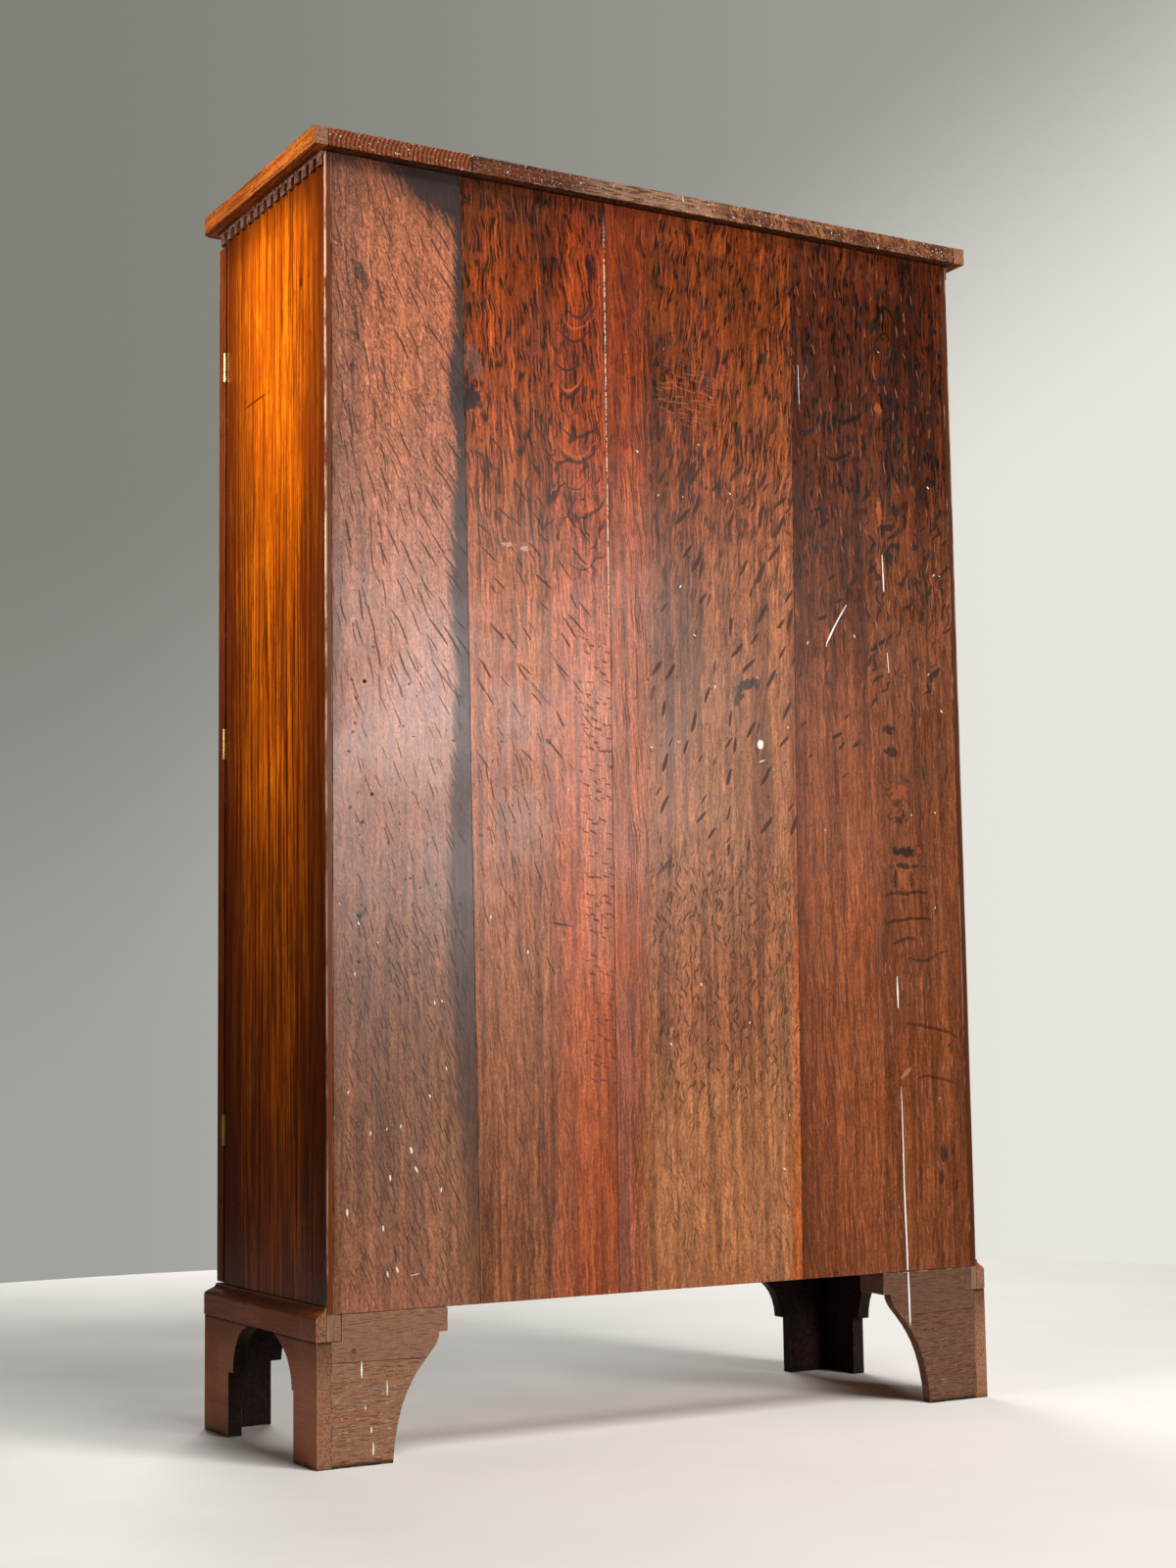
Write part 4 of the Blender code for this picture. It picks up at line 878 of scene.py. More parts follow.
def oak_board(name, board):
    """Quartered oak of one back board, with old wax, flecks and marks."""
    material, graph, shader, place = start_material("oak_" + name)
    colours = finish()
    x, y, z = graph.split(place)
    low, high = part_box(name)
    seed = high.x * BOARD_SEEDS
    outside = on_rear_face(graph, y, BACK_FACE)

    # Tones across the board, tints on parts of it, and painted light and shade up it
    drift = graph.minus(graph.streaks(place, 0.03, 0.30), 0.5)
    drifted = graph.plus(x, drift, 0.04)
    drifted = graph.plus(drifted, graph.minus(z, (BACK_BOTTOM + BACK_TOP) / 2), board.lean)
    stops = [((at - low.x) / (high.x - low.x), getattr(colours, tone)) for at, tone in board.tones]
    colour = graph.ramp(graph.span(drifted, low.x, high.x), stops)
    streak = graph.streaks(place, 0.011, 0.42, seed, 3.0)
    for wash in board.washes:
        region = graph.times(
            graph.window(drifted, *wash.across, wash.soft / 2), graph.window(z, *wash.up, wash.soft * 2))
        streaky = graph.between(streak, 0.30, 0.62, wash.strength * 0.45, wash.strength)
        colour = graph.tint(colour, getattr(colours, wash.colour), region, streaky)
    painted_light_levels = [((at - low.z) / (high.z - low.z), level) for at, level in board.heights]
    colour = graph.scale(colour, graph.ramp(graph.span(z, low.z, high.z), painted_light_levels))
    # Warm painted shade towards the top
    colour = graph.scale(colour, colours.varnish, graph.between(z, *PAINTED_TOP_SHADE_RISE, 0.0, board.varnish))

    # Fine grain, speckle and the ripple of the old finish, its dark lines partly painted shade in the
    # creases and its ridges given painted glints
    wavy = graph.join(graph.plus(x, graph.sway(place, 34.0), 0.014), y, z)
    fine = graph.streaks(wavy, 0.0028, 0.05, seed, 3.0)
    speckle = graph.noise(place, 260.0, 3.0, 0.6)
    tone = graph.times(
        graph.between(streak, *NOISE_BODY, 1 + 0.25 * board.streaks, 1 - 0.30 * board.streaks),
        graph.between(fine, *NOISE_BODY, 1.20, 0.75),
        graph.between(speckle, *NOISE_BODY, 1.18, 0.80),
    )
    crackled = graph.between(z, *CRACKLE_RISE, *CRACKLE_GAIN)
    height = graph.times(speckle, 0.08)
    for number, ripple in enumerate(board.ripples):
        waves = graph.group("ripple_lines", {
            "Position": place, "Across": ripple.across, "Along": ripple.along,
            "Slant": math.radians(ripple.slant), "Seed": seed + number})
        share = graph.times(graph.window(drifted, *ripple.reach, 0.006), ripple.strength, crackled)
        lines = graph.times(waves["Lines"], share)
        glints = graph.times(waves["Ridges"], share)
        tone = graph.times(tone, graph.plus(1.0, lines, LINE_GAIN), graph.plus(1.0, glints, GLINT_GAIN))
        height = graph.plus(height, lines, -0.4)
    colour = graph.scale(colour, tone)

    # Scattered flecks, placed marks and bent lines
    dark = None
    for number, layer in enumerate(board.flecks):
        strokes = graph.group("ray_flecks", {
            "Position": place, "Cell Across": layer.cell[0], "Cell Along": layer.cell[1],
            "Slant": math.radians(layer.slant), "Spread": math.radians(layer.spread),
            "Length": layer.length, "Width": layer.width, "Presence": layer.presence,
            "Wobble": layer.wobble, "Bends": layer.bends, "Seed": FLECK_SEEDS * number + high.x})["Mask"]
        region = graph.times(graph.window(x, *layer.across, 0.012), graph.window(z, *layer.up, 0.06))
        strokes = graph.times(strokes, region)
        if layer.colour == "paint":
            strokes = graph.times(strokes, outside)
        colour = graph.tint(colour, getattr(colours, layer.colour), strokes, layer.strength)
        if layer.colour in ("fleck", "grime"):
            dark = strokes if dark is None else graph.math("MAXIMUM", dark, strokes)
    for mark in board.blotches:
        spot = graph.group("blotch", {
            "Position": place, "Centre": (mark.middle[0], 0, mark.middle[1]),
            "Size": (mark.half[0], 1, mark.half[1]), "Turn": math.radians(mark.turn),
            "Ragged": mark.ragged})["Mask"]
        colour = graph.tint(colour, getattr(colours, mark.colour), spot, outside, mark.strength)
    for bowl in board.bowls:
        line = graph.group("bowl_line", {
            "Position": place, "Centre": (bowl.middle[0], 0, bowl.middle[1]), "Half": bowl.half,
            "Height": bowl.height, "Thickness": bowl.thick, "Tilt": bowl.tilt})["Mask"]
        colour = graph.tint(colour, getattr(colours, bowl.colour), line, bowl.strength)
    if name == "back_board_1":
        stained = graph.times(stain_mask(graph, place, speckle), outside)
        colour = graph.mix(stained, colour, colours.stain)
        dark = graph.math("MAXIMUM", dark, graph.times(stained, 0.5))

    # Painted shade in shut corners, darkened edges, and wear along edges, on some boards with a painted
    # highlight
    colour = graph.tint(colour, colours.mahogany_shadow, graph.grime(place, 0.010), 0.5)
    edges = graph.wear(place, 0.0022, 0.40)
    colour = graph.tint(colour, colours.mahogany_shadow, edges["Edge"], 0.7)
    colour = graph.tint(colour, colours.wear, edges["Mask"], 0.2)
    # The first edge worn pale with a painted highlight, between the board's given heights
    first_edge = graph.between(x, low.x + 0.0036, low.x + 0.0024)
    rubbed = graph.times(graph.window(z, *board.rubbed, 0.03), first_edge)
    colour = graph.tint(colour, colours.wear, rubbed, graph.between(speckle, 0.44, 0.54, 0.0, 0.85))
    graph.feed(shader.inputs["Base Color"], colour)
    patch = graph.noise(place, 9.0, 3.0)
    rough = graph.plus(graph.between(patch, *NOISE_SPREAD, 0.21, 0.29), dark, 0.12)
    graph.feed(shader.inputs["Roughness"], graph.plus(rough, speckle, 0.06))
    set_bump(graph, shader, graph.plus(height, dark, -0.9), strength=0.5, distance=0.00014)
    shader.inputs["Specular IOR Level"].default_value = board.sheen
    return material


class Oak(NamedTuple):
    """How a plainer oak looks: the way its grain runs, its two tones, its gloss and what it carries."""

    along: str
    tone: str
    dark: str
    gloss: float
    contrast: float = 1.0
    foot: bool = False
    rings: bool = False


OAKS = {
    "oak_top": Oak("X", "oak_umber", "fleck", 0.55, rings=True),
    "oak_inside": Oak("X", "oak_inside", "oak_brown", 0.42),
    "oak_foot": Oak("X", "oak_dry", "oak_brown", 0.6, 0.45, foot=True),
}

# The glue joint in each rear foot: its height, where that is measured in X, and its rise outwards
FOOT_JOINT = 0.1300
FOOT_JOINT_OUT = 0.45
FOOT_JOINT_RISE = 0.015
# The top's rear edge: where its ringed end stops, how far its rings lie apart, and its worn part
RINGS_END = 0.313
RING_SPACING = 0.0066
WORN_PART = (-0.09, 0.13)


def foot_marks(graph, place, colour):
    """The glue joint, the scuffs, the darkened bottom edge of a rear foot, and painted shade on the left
    foot.
    """
    colours = finish()
    x, _, z = graph.split(place)
    out = graph.minus(graph.math("ABSOLUTE", x), FOOT_JOINT_OUT)
    joint = graph.plus(FOOT_JOINT, out, FOOT_JOINT_RISE)
    above = graph.minus(z, joint)
    colour = graph.tint(colour, colours.oak_grey, graph.between(above, 0.0, 0.004, 0.0, 0.3))
    colour = graph.tint(colour, colours.stain, graph.window(above, -0.0005, 0.0005, 0.0005), 0.85)
    scuffs = graph.noise(graph.join(x, 0.0, graph.times(z, 4.0)), 60.0, 5.0, 0.75)
    low_down = graph.between(z, 0.17, 0.012, 0.25, 1.0)
    colour = graph.tint(colour, colours.wear, graph.between(scuffs, 0.54, 0.70), low_down, 0.75)
    # Painted shade: the left foot darker
    colour = graph.scale(colour, graph.between(x, MIDDLE_ZONE, -MIDDLE_ZONE, 1.0, 0.5))
    return graph.tint(colour, colours.stain, graph.between(z, 0.007, 0.002, 0.0, 0.85))


def ring_marks(graph, place, colour):
    """Growth rings at one end of the top's rear edge, wear in its middle and ripple at its other end."""
    colours = finish()
    x, _, z = graph.split(place)
    rear = graph.between(graph.facing()[1], 0.5, 0.8)

    ringed = graph.times(rear, graph.between(x, RINGS_END - 0.0005, RINGS_END + 0.0005))
    bend = graph.times(graph.noise(place, 30.0), 0.006)
    up = graph.minus(z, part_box("top_board")[0].z)
    curve = graph.minus(graph.times(up, up, 18.0), graph.times(up, 0.2))
    run = graph.math("ADD", graph.math("ADD", x, bend), curve)
    rings = graph.math("SINE", graph.times(run, math.tau / RING_SPACING))
    rings = graph.times(graph.between(rings, -0.1, 0.6), ringed)
    colour = graph.tint(colour, colours.oak_orange, ringed, 0.3)
    colour = graph.tint(colour, colours.fleck, rings, 0.85)
    joint = graph.window(x, RINGS_END - 0.004, RINGS_END, 0.0012)
    colour = graph.tint(colour, colours.stain, joint, 0.85)

    worn = graph.times(rear, graph.window(x, *WORN_PART, 0.04))
    broken = graph.streaks(turn_to_grain(graph, place, "X"), 0.003, 0.03, detail=4.0)
    colour = graph.tint(colour, colours.end_grain, worn, graph.between(broken, 0.42, 0.54, 0.1, 0.9))
    ripple = graph.group("ripple_lines", {
        "Position": place, "Across": 0.0050, "Along": 0.016, "Slant": math.radians(30), "Seed": 4.0})
    rippled = graph.times(rear, graph.between(x, 0.02, -0.08), graph.between(x, -0.1, -0.5, 0.55, 0.28))
    colour = graph.tint(colour, colours.oak_tan, rippled, ripple["Lines"])
    specks = graph.between(graph.noise(place, 240.0, 3.0, 0.7), 0.62, 0.70)
    return graph.tint(colour, colours.paint, specks, rear, 0.8)


def plain_oak(name):
    """Oak with straight grain, for the top, the feet and the inside."""
    oak = OAKS[name]
    material, graph, shader, place = start_material(name)
    colours = finish()
    grain = turn_to_grain(graph, place, oak.along)
    broad = graph.streaks(grain, 0.006, 0.16, detail=4.0)
    tone = graph.between(broad, 0.35, 0.65, 0.0, oak.contrast)
    colour = graph.mix(tone, getattr(colours, oak.tone), getattr(colours, oak.dark))
    fine = graph.streaks(grain, 0.0012, 0.026, detail=3.0)
    colour = graph.tint(colour, colours.fleck, graph.between(fine, 0.5, 0.68, 0.0, 0.6))
    first, second, third = graph.split(grain)
    flat = graph.join(graph.math("ADD", first, second), 0.0, third)
    rays = graph.group("ray_flecks", {
        "Position": flat, "Cell Across": 0.0034, "Cell Along": 0.016, "Length": 0.008, "Width": 0.0006,
        "Spread": 0.2, "Presence": 0.75})["Mask"]
    colour = graph.tint(colour, colours.fleck, rays, 0.65)
    speckle = graph.noise(place, 380.0, 3.0, 0.6)
    colour = graph.tint(colour, colours.wear, graph.between(speckle, 0.46, 0.3, 0.0, 0.2))
    if oak.foot:
        colour = foot_marks(graph, place, colour)
    if oak.rings:
        colour = ring_marks(graph, place, colour)
    # Painted shade in shut corners
    colour = graph.tint(colour, colours.grime, graph.grime(place, 0.012), 0.8)
    colour = graph.tint(colour, colours.wear, graph.wear(place, 0.003, 0.46)["Mask"], 0.6)
    graph.feed(shader.inputs["Base Color"], colour)
    rough = graph.between(speckle, *NOISE_SPREAD, oak.gloss, oak.gloss + 0.14)
    graph.feed(shader.inputs["Roughness"], rough)
    height = graph.plus(graph.times(speckle, 0.4), fine, -0.8)
    set_bump(graph, shader, graph.plus(height, rays, -0.6), strength=0.5, distance=0.0003)
    shader.inputs["Specular IOR Level"].default_value = 0.05
    return material


# Painted light on the side panels: brightness from bottom to top
SIDE_PAINTED_LIGHT = ((0.0, 0.42), (0.25, 0.52), (0.5, 0.70), (0.70, 0.61), (0.80, 0.80), (0.9, 1.0))


class Mahogany(NamedTuple):
    """How a mahogany looks: the way its grain runs, two tones, dust, gloss, figure and what it carries."""

    along: str
    light: str
    dark: str
    dusty: float = 0.0
    gloss: float = 0.26
    figure: float = 1.0
    shut: bool = False
    coarse: float = 1.0
    reach: float = 1.0
    panel: bool = False


MAHOGANIES = {
    "mahogany_side": Mahogany("Z", "mahogany_light", "mahogany_dark", coarse=1.9, reach=2.8, panel=True),
    "mahogany_edge_y": Mahogany("Y", "edge_light", "edge_dark"),
    "mahogany_edge_x": Mahogany("X", "edge_light", "edge_dark"),
    "mahogany_dusty": Mahogany("Y", "mahogany_red", "mahogany_shadow", 0.22, 0.4),
    "mahogany_moulding_y": Mahogany("Y", "base_red", "base_dark", 0.0, 0.24, 0.6),
    "mahogany_moulding_x": Mahogany("X", "base_red", "base_dark", 0.0, 0.24, 0.6),
    "mahogany_foot_y": Mahogany("Y", "base_light", "base_brown", 0.03, 0.34, 0.2, shut=True),
    "mahogany_foot_x": Mahogany("X", "base_red", "base_dark", 0.03, 0.34, 0.5, shut=True),
    "mahogany_stile": Mahogany("Z", "door_light", "door_dark"),
    "mahogany_rail": Mahogany("X", "door_light", "door_dark"),
}

# The knot of the side panels, a line above it and a line across: middle, half sizes, turn in degrees
SIDE_KNOTS = (
    ((0.1216, 0, 1.566), (0.0060, 1, 0.012), 4),
    ((0.1225, 0, 1.610), (0.0018, 1, 0.050), 1),
    ((-0.042, 0, 1.441), (0.0018, 1, 0.052), 88),
)


def side_marks(graph, place, thin, colour):
    """Painted light falling off down a side, painted shade under the dentils, darker margins, its knot, and
    the worn rear edge with painted highlights.
    """
    colours = finish()
    shadow = colours.mahogany_shadow
    x, y, z = graph.split(place)
    low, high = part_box("side_panel_right")
    up = graph.span(z, low.z, high.z)
    colour = graph.scale(colour, graph.ramp(up, SIDE_PAINTED_LIGHT))
    colour = graph.tint(
        colour, shadow, graph.between(thin, 0.46, 0.58), graph.between(up, 0.75, 0.55, 0.0, 0.55))
    wander = graph.times(graph.sway(place, 6.0, 3.0), 0.06)
    margin = graph.math("ABSOLUTE", graph.math("ADD", graph.minus(y, (low.y + high.y) / 2), wander))
    half = (high.y - low.y) / 2
    colour = graph.tint(colour, shadow, graph.between(margin, half - 0.15, half, 0.0, 0.8))
    # Painted shade under the dentils at the top
    colour = graph.tint(colour, shadow, graph.between(z, high.z - 0.09, high.z - 0.02, 0.0, 0.7))
    flat = graph.join(y, 0.0, z)
    for centre, size, turn in SIDE_KNOTS:
        knot = graph.group("blotch", {
            "Position": flat, "Centre": centre, "Size": size, "Turn": math.radians(turn), "Ragged": 0.3})
        colour = graph.tint(colour, shadow, knot["Mask"], 0.85)

    # The rear edge: dark, with painted shade on the left hand, drier beside the foot, and worn pale along
    # both its corners with a painted highlight
    rear = on_rear_face(graph, y, high.y)
    colour = graph.tint(colour, colours.oak_umber, rear, 0.9)
    # Painted shade on the left side's rear edge
    left_hand = graph.between(x, MIDDLE_ZONE, -MIDDLE_ZONE, 0.0, 0.6)
    colour = graph.tint(colour, colours.fleck, rear, left_hand)
    beside_foot = graph.between(z, BACK_BOTTOM + 0.002, BACK_BOTTOM - 0.002, 0.0, 0.8)
    colour = graph.tint(colour, colours.oak_dry, rear, beside_foot)
    aside = graph.math("ABSOLUTE", x)
    broken = graph.noise(graph.join(x, y, graph.times(z, 0.12)), 90.0, 4.0, 0.7)
    # Wear with a painted highlight along both corners of the rear edge
    rubbed = graph.times(
        graph.window(aside, high.x - 0.0022, high.x + 0.002, 0.0006),
        graph.between(y, high.y - 0.0022, high.y - 0.0008),
        graph.between(broken, 0.42, 0.56),
        graph.between(z, 0.7, 1.2, 0.3, 0.9),
        graph.between(x, -MIDDLE_ZONE, MIDDLE_ZONE, 0.3, 1.0),
    )
    colour = graph.tint(colour, colours.wear, rubbed)
    inner = graph.times(rear, graph.between(aside, high.x - 0.0088, high.x - 0.0096))
    return graph.tint(colour, colours.wear, inner, graph.between(broken, 0.48, 0.60, 0.0, 0.8))


def mahogany(name):
    """Polished mahogany with ribbon figure, short dark pores, worn edges and painted shade in its corners.
    """
    wood = MAHOGANIES[name]
    material, graph, shader, place = start_material(name)
    colours = finish()
    shadow = colours.mahogany_shadow
    light, dark = getattr(colours, wood.light), getattr(colours, wood.dark)
    grain = turn_to_grain(graph, place, wood.along)
    figure = wood.figure
    broad = graph.streaks(grain, 0.016, 0.6, detail=4.0)
    colour = graph.mix(
        graph.between(broad, 0.40, 0.62, 0.35 - 0.35 * figure, 0.35 + 0.35 * figure), light, dark)
    thin = graph.streaks(grain, 0.0024 * wood.coarse, 0.09 * wood.reach, 5.0, 4.0)
    colour = graph.tint(colour, shadow, graph.between(thin, 0.45, 0.60, 0.0, 0.75 * figure))
    colour = graph.tint(colour, light, graph.between(thin, 0.46, 0.36, 0.0, 0.5 * figure))
    pores = graph.streaks(grain, 0.0012 * wood.coarse, 0.012 * wood.reach, 9.0)
    colour = graph.tint(colour, shadow, graph.between(pores, 0.50, 0.62, 0.0, 0.6 * figure))
    clouds = graph.noise(place, 9.0, 4.0)
    colour = graph.tint(colour, dark, graph.between(clouds, 0.45, 0.75, 0.0, 0.5))
    mottle = graph.streaks(grain, 0.014, 0.03 * wood.reach, 2.0)
    colour = graph.tint(colour, dark, graph.between(mottle, 0.46, 0.62, 0.0, 0.4 * figure))
    if wood.panel:
        colour = side_marks(graph, place, thin, colour)
    else:
        along = graph.math("ABSOLUTE", graph.facing()["XYZ".index(wood.along)])
        cut_pores = graph.between(graph.noise(place, 520.0, 2.0, 0.6), 0.45, 0.65)
        end_tone = graph.mix(cut_pores, colours.end_grain, colours.oak_umber)
        colour = graph.tint(colour, end_tone, graph.between(along, 0.75, 0.92, 0.0, 0.85))
    # Painted shade in shut corners
    colour = graph.tint(colour, colours.grime, graph.grime(place, 0.012), 0.85)
    if wood.shut:
        # Painted shade on the feet: darker up towards the base moulding, a painted shadow line under it, and
        # near black on faces turned inwards
        x, y, z = graph.split(place)
        colour = graph.tint(colour, shadow, graph.between(z, 0.09, FOOT_TOP, 0.0, 0.55))
        under = graph.between(z, FOOT_TOP - 0.004, FOOT_TOP - 0.001, 0.0, 0.8)
        colour = graph.tint(colour, colours.grime, under)
        sideways, backwards, _ = graph.facing()
        outward = graph.times(sideways, graph.math("SIGN", x))
        outward = graph.math("MAXIMUM", outward, graph.times(backwards, -1.0))
        outward = graph.math("MAXIMUM", outward, graph.between(y, BACK_FACE - 0.012, BACK_FACE - 0.004))
        colour = graph.tint(colour, colours.grime, graph.between(outward, 0.6, 0.3, 0.0, 0.96))
    dust = graph.group("settled_dust", {"Position": place, "Amount": 0.15 + wood.dusty})["Mask"]
    film = graph.between(graph.noise(place, 130.0, 4.0, 0.65), 0.35, 0.7, 0.0, wood.dusty)
    dust = graph.math("MAXIMUM", dust, film)
    colour = graph.tint(colour, colours.dust, dust)
    colour = graph.tint(colour, colours.wear, graph.wear(place, 0.002, 0.50)["Mask"], 0.4)
    graph.feed(shader.inputs["Base Color"], colour)
    rough = graph.between(clouds, *NOISE_SPREAD, wood.gloss, wood.gloss + 0.12)
    graph.feed(shader.inputs["Roughness"], graph.math("MULTIPLY_ADD", dust, 0.4, rough, clamp=True))
    shader.inputs["Specular IOR Level"].default_value = 0.06
    height = graph.plus(graph.times(thin, 0.4), pores, -0.7)
    set_bump(graph, shader, height, strength=0.18, distance=0.0004)
    return material


def metal(name, bright, dull, dull_amount, roughness):
    """Old metal: bright where it is handled, dull in patches, with fine scratches."""
    material, graph, shader, place = start_material(name)
    patches = graph.noise(place, 120.0, 5.0, 0.65)
    dulled = graph.between(patches, 0.62 - dull_amount * 0.4, 0.80 - dull_amount * 0.4)
    dulled = graph.math("MAXIMUM", dulled, graph.times(graph.grime(place, 0.004), 0.8))
    colour = graph.mix(dulled, bright, dull)
    colour = graph.tint(colour, bright, graph.wear(place, 0.0008, 0.35)["Mask"], 0.6)
    graph.feed(shader.inputs["Base Color"], colour)
    shader.inputs["Metallic"].default_value = 1.0
    scratches = graph.streaks(place, 0.0004, 0.02, detail=3.0)
    rough = graph.plus(roughness, dulled, 0.28)
    graph.feed(shader.inputs["Roughness"], graph.plus(rough, scratches, 0.12))
    set_bump(graph, shader, graph.plus(scratches, patches, 0.8), strength=0.2, distance=0.0002)
    return material


def old_glass():
    """Clear drawn glass with a slow ripple and a little dust."""
    material, graph, shader, place = start_material("old_glass")
    shader.inputs["Base Color"].default_value = (*finish().glass, 1)
    shader.inputs["Transmission Weight"].default_value = 1.0
    shader.inputs["IOR"].default_value = 1.48
    smears = graph.noise(place, 14.0, 4.0, 0.7)
    graph.feed(shader.inputs["Roughness"], graph.between(smears, 0.45, 0.85, 0.0, 0.09))
    ripple = graph.streaks(place, 0.09, 0.28, detail=1.0)
    set_bump(graph, shader, ripple, strength=0.12, distance=0.004)
    return material


def flaked_paint():
    """Thick pale paint with a chalky, slightly dirty face."""
    material, graph, shader, place = start_material("flaked_paint")
    dirt = graph.noise(place, 300.0, 4.0, 0.7)
    dirty = graph.between(dirt, 0.45, 0.75, 0.0, 0.5)
    graph.feed(shader.inputs["Base Color"], graph.mix(dirty, finish().paint, finish().dust))
    graph.feed(shader.inputs["Roughness"], graph.between(dirt, *NOISE_SPREAD, 0.45, 0.7))
    set_bump(graph, shader, dirt, strength=0.3, distance=0.0003)
    return material


def glazing_putty():
    """Hard brown putty with knife marks."""
    material, graph, shader, place = start_material("glazing_putty")
    marks = graph.noise(place, 90.0, 5.0, 0.7)
    marked = graph.between(marks, 0.4, 0.7)
    graph.feed(shader.inputs["Base Color"], graph.mix(marked, finish().putty, finish().oak_umber))
    graph.feed(shader.inputs["Roughness"], graph.between(marks, *NOISE_SPREAD, 0.5, 0.75))
    set_bump(graph, shader, marks, strength=0.5, distance=0.0008)
    return material


# How near points lie that are one point, and the angle in degrees from which an edge counts as sharp
WELD_REACH = 0.00001
SHARP_ANGLE = 35


def dress(names, material, arris, segments=2):
    """Gives CAD nodes a finish and softened edges."""
    for name in names:
        node = NODES[name]
        node.material_slots[0].material = material
        if arris:
            weld = node.modifiers.new("joined_faces", "WELD")
            weld.merge_threshold = WELD_REACH
            bevel = node.modifiers.new("softened_edges", "BEVEL")
            bevel.width = arris
            bevel.segments = segments
            bevel.limit_method = "ANGLE"
            bevel.angle_limit = math.radians(SHARP_ANGLE)
            bevel.harden_normals = True


def mesh_object(name, bm, material):
    """Turns a bmesh into an object of the scene."""
    mesh = bpy.data.meshes.new(name)
    bm.to_mesh(mesh)
    bm.free()
    mesh.materials.append(material)
    piece = bpy.data.objects.new(name, mesh)
    bpy.context.scene.collection.objects.link(piece)
    return piece


def new_piece(name, bm, material, body):
    """Turns a bmesh into a piece that rides on a body."""
    bmesh.ops.recalc_face_normals(bm, faces=bm.faces)
    piece = mesh_object(name, bm, material)
    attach(piece, body)
    return piece


def both_sides(*stems):
    """Node names of the right and the left hand."""
    return [stem.replace("SIDE", side) for stem in stems for side, _ in HANDS]


def bridge(bm, lower, upper):
    """Closes the band between two rings of points."""
    for step in range(len(lower)):
        after = (step + 1) % len(lower)
        bm.faces.new((lower[step], lower[after], upper[after], upper[step]))


def turned_head(bm, centre, outward, profile, around=14):
    """A turned form: a profile of radius and height, spun about a line from the centre outwards."""
    spin = outward.to_track_quat("Z", "Y").to_matrix()
    rings = []
    for radius, height in profile:
        ring = []
        for step in range(around):
            angle = math.tau * step / around
            local = Vector((radius * math.cos(angle), radius * math.sin(angle), height))
            ring.append(bm.verts.new(centre + spin @ local))
        rings.append(ring)
    for lower, upper in zip(rings, rings[1:]):
        bridge(bm, lower, upper)
    bm.faces.new(reversed(rings[0]))
    bm.faces.new(rings[-1])


def smooth(piece):
    """Shades a rounded piece smoothly."""
    for face in piece.data.polygons:
        face.use_smooth = True


class CABINET_OT_back_boards(bpy.types.Operator):
    """Finish the four oak boards of the back"""

    bl_idname = "cabinet.back_boards"
    bl_label = "Back Boards"

    def execute(self, context):
        for name, board in BOARDS.items():
            dress([name], oak_board(name, board), sizes().board_arris)
        return {"FINISHED"}


class CABINET_OT_case(bpy.types.Operator):
    """Finish the top, sides, frieze, dentils and shelves"""

    bl_idname = "cabinet.case"
    bl_label = "Case"

    def execute(self, context):
        arris = sizes()
        dress(["top_board"], plain_oak("oak_top"), arris.top_arris)
        dress(both_sides("top_lipping_SIDE"), mahogany("mahogany_edge_y"), arris.top_arris)
        dress(["top_lipping_front", "frieze_rail"], mahogany("mahogany_edge_x"), arris.board_arris)
        dress(both_sides("side_panel_SIDE"), mahogany("mahogany_side"), arris.board_arris)
        dress(both_sides("dentils_SIDE") + ["dentils_front"], mahogany("mahogany_dusty"), arris.small_arris)
        dress(["bottom_board", "shelf_1", "shelf_2", "shelf_3"], plain_oak("oak_inside"), arris.board_arris)
        return {"FINISHED"}


class CABINET_OT_base(bpy.types.Operator):
    """Finish the base moulding and the bracket feet"""

    bl_idname = "cabinet.base"
    bl_label = "Base and Feet"

    SLACK = 0.0003
    REBATE_STEP = 0.005

    def execute(self, context):
        arris = sizes()
        foot = plain_oak("oak_foot")
        dress(both_sides("base_moulding_SIDE"), mahogany("mahogany_moulding_y"), arris.small_arris)
        dress(["base_moulding_front"], mahogany("mahogany_moulding_x"), arris.small_arris)
        dress(both_sides("side_front_bracket_SIDE", "side_rear_bracket_SIDE"),
              mahogany("mahogany_foot_y"), arris.board_arris)
        dress(both_sides("front_bracket_SIDE"), mahogany("mahogany_foot_x"), arris.board_arris)
        dress(both_sides("rear_bracket_SIDE", "rear_block_SIDE"), foot, arris.board_arris)
        for side, hand in HANDS:
            self.add_filler(side, hand, foot)
        return {"FINISHED"}

    def add_filler(self, side, hand, material):
        """A slip of oak that fills the side's rebate below the back boards."""
        low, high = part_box("side_panel_" + side)
        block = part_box("rear_block_" + side)
        inner, outer = sorted((abs(low.x), abs(high.x)))
        half = (outer - inner) / 2
        bottom, top = low.z + self.SLACK, BACK_BOTTOM - self.SLACK
        front, rear = block[1].y + 2 * self.SLACK + self.REBATE_STEP, high.y - self.SLACK
        size = Vector((half - 2 * self.SLACK, rear - front, top - bottom))
        middle = Vector((hand * (inner + half / 2), (front + rear) / 2, (bottom + top) / 2))
        bm = bmesh.new()
        shape = Matrix.Translation(middle) @ Matrix.Diagonal((*size, 1.0))
        bmesh.ops.create_cube(bm, size=1.0, matrix=shape)
        bmesh.ops.bevel(
            bm, geom=list(bm.edges), offset=sizes().small_arris, segments=2, affect="EDGES", profile=0.5)
        new_piece("foot_filler_" + side, bm, material, "case")


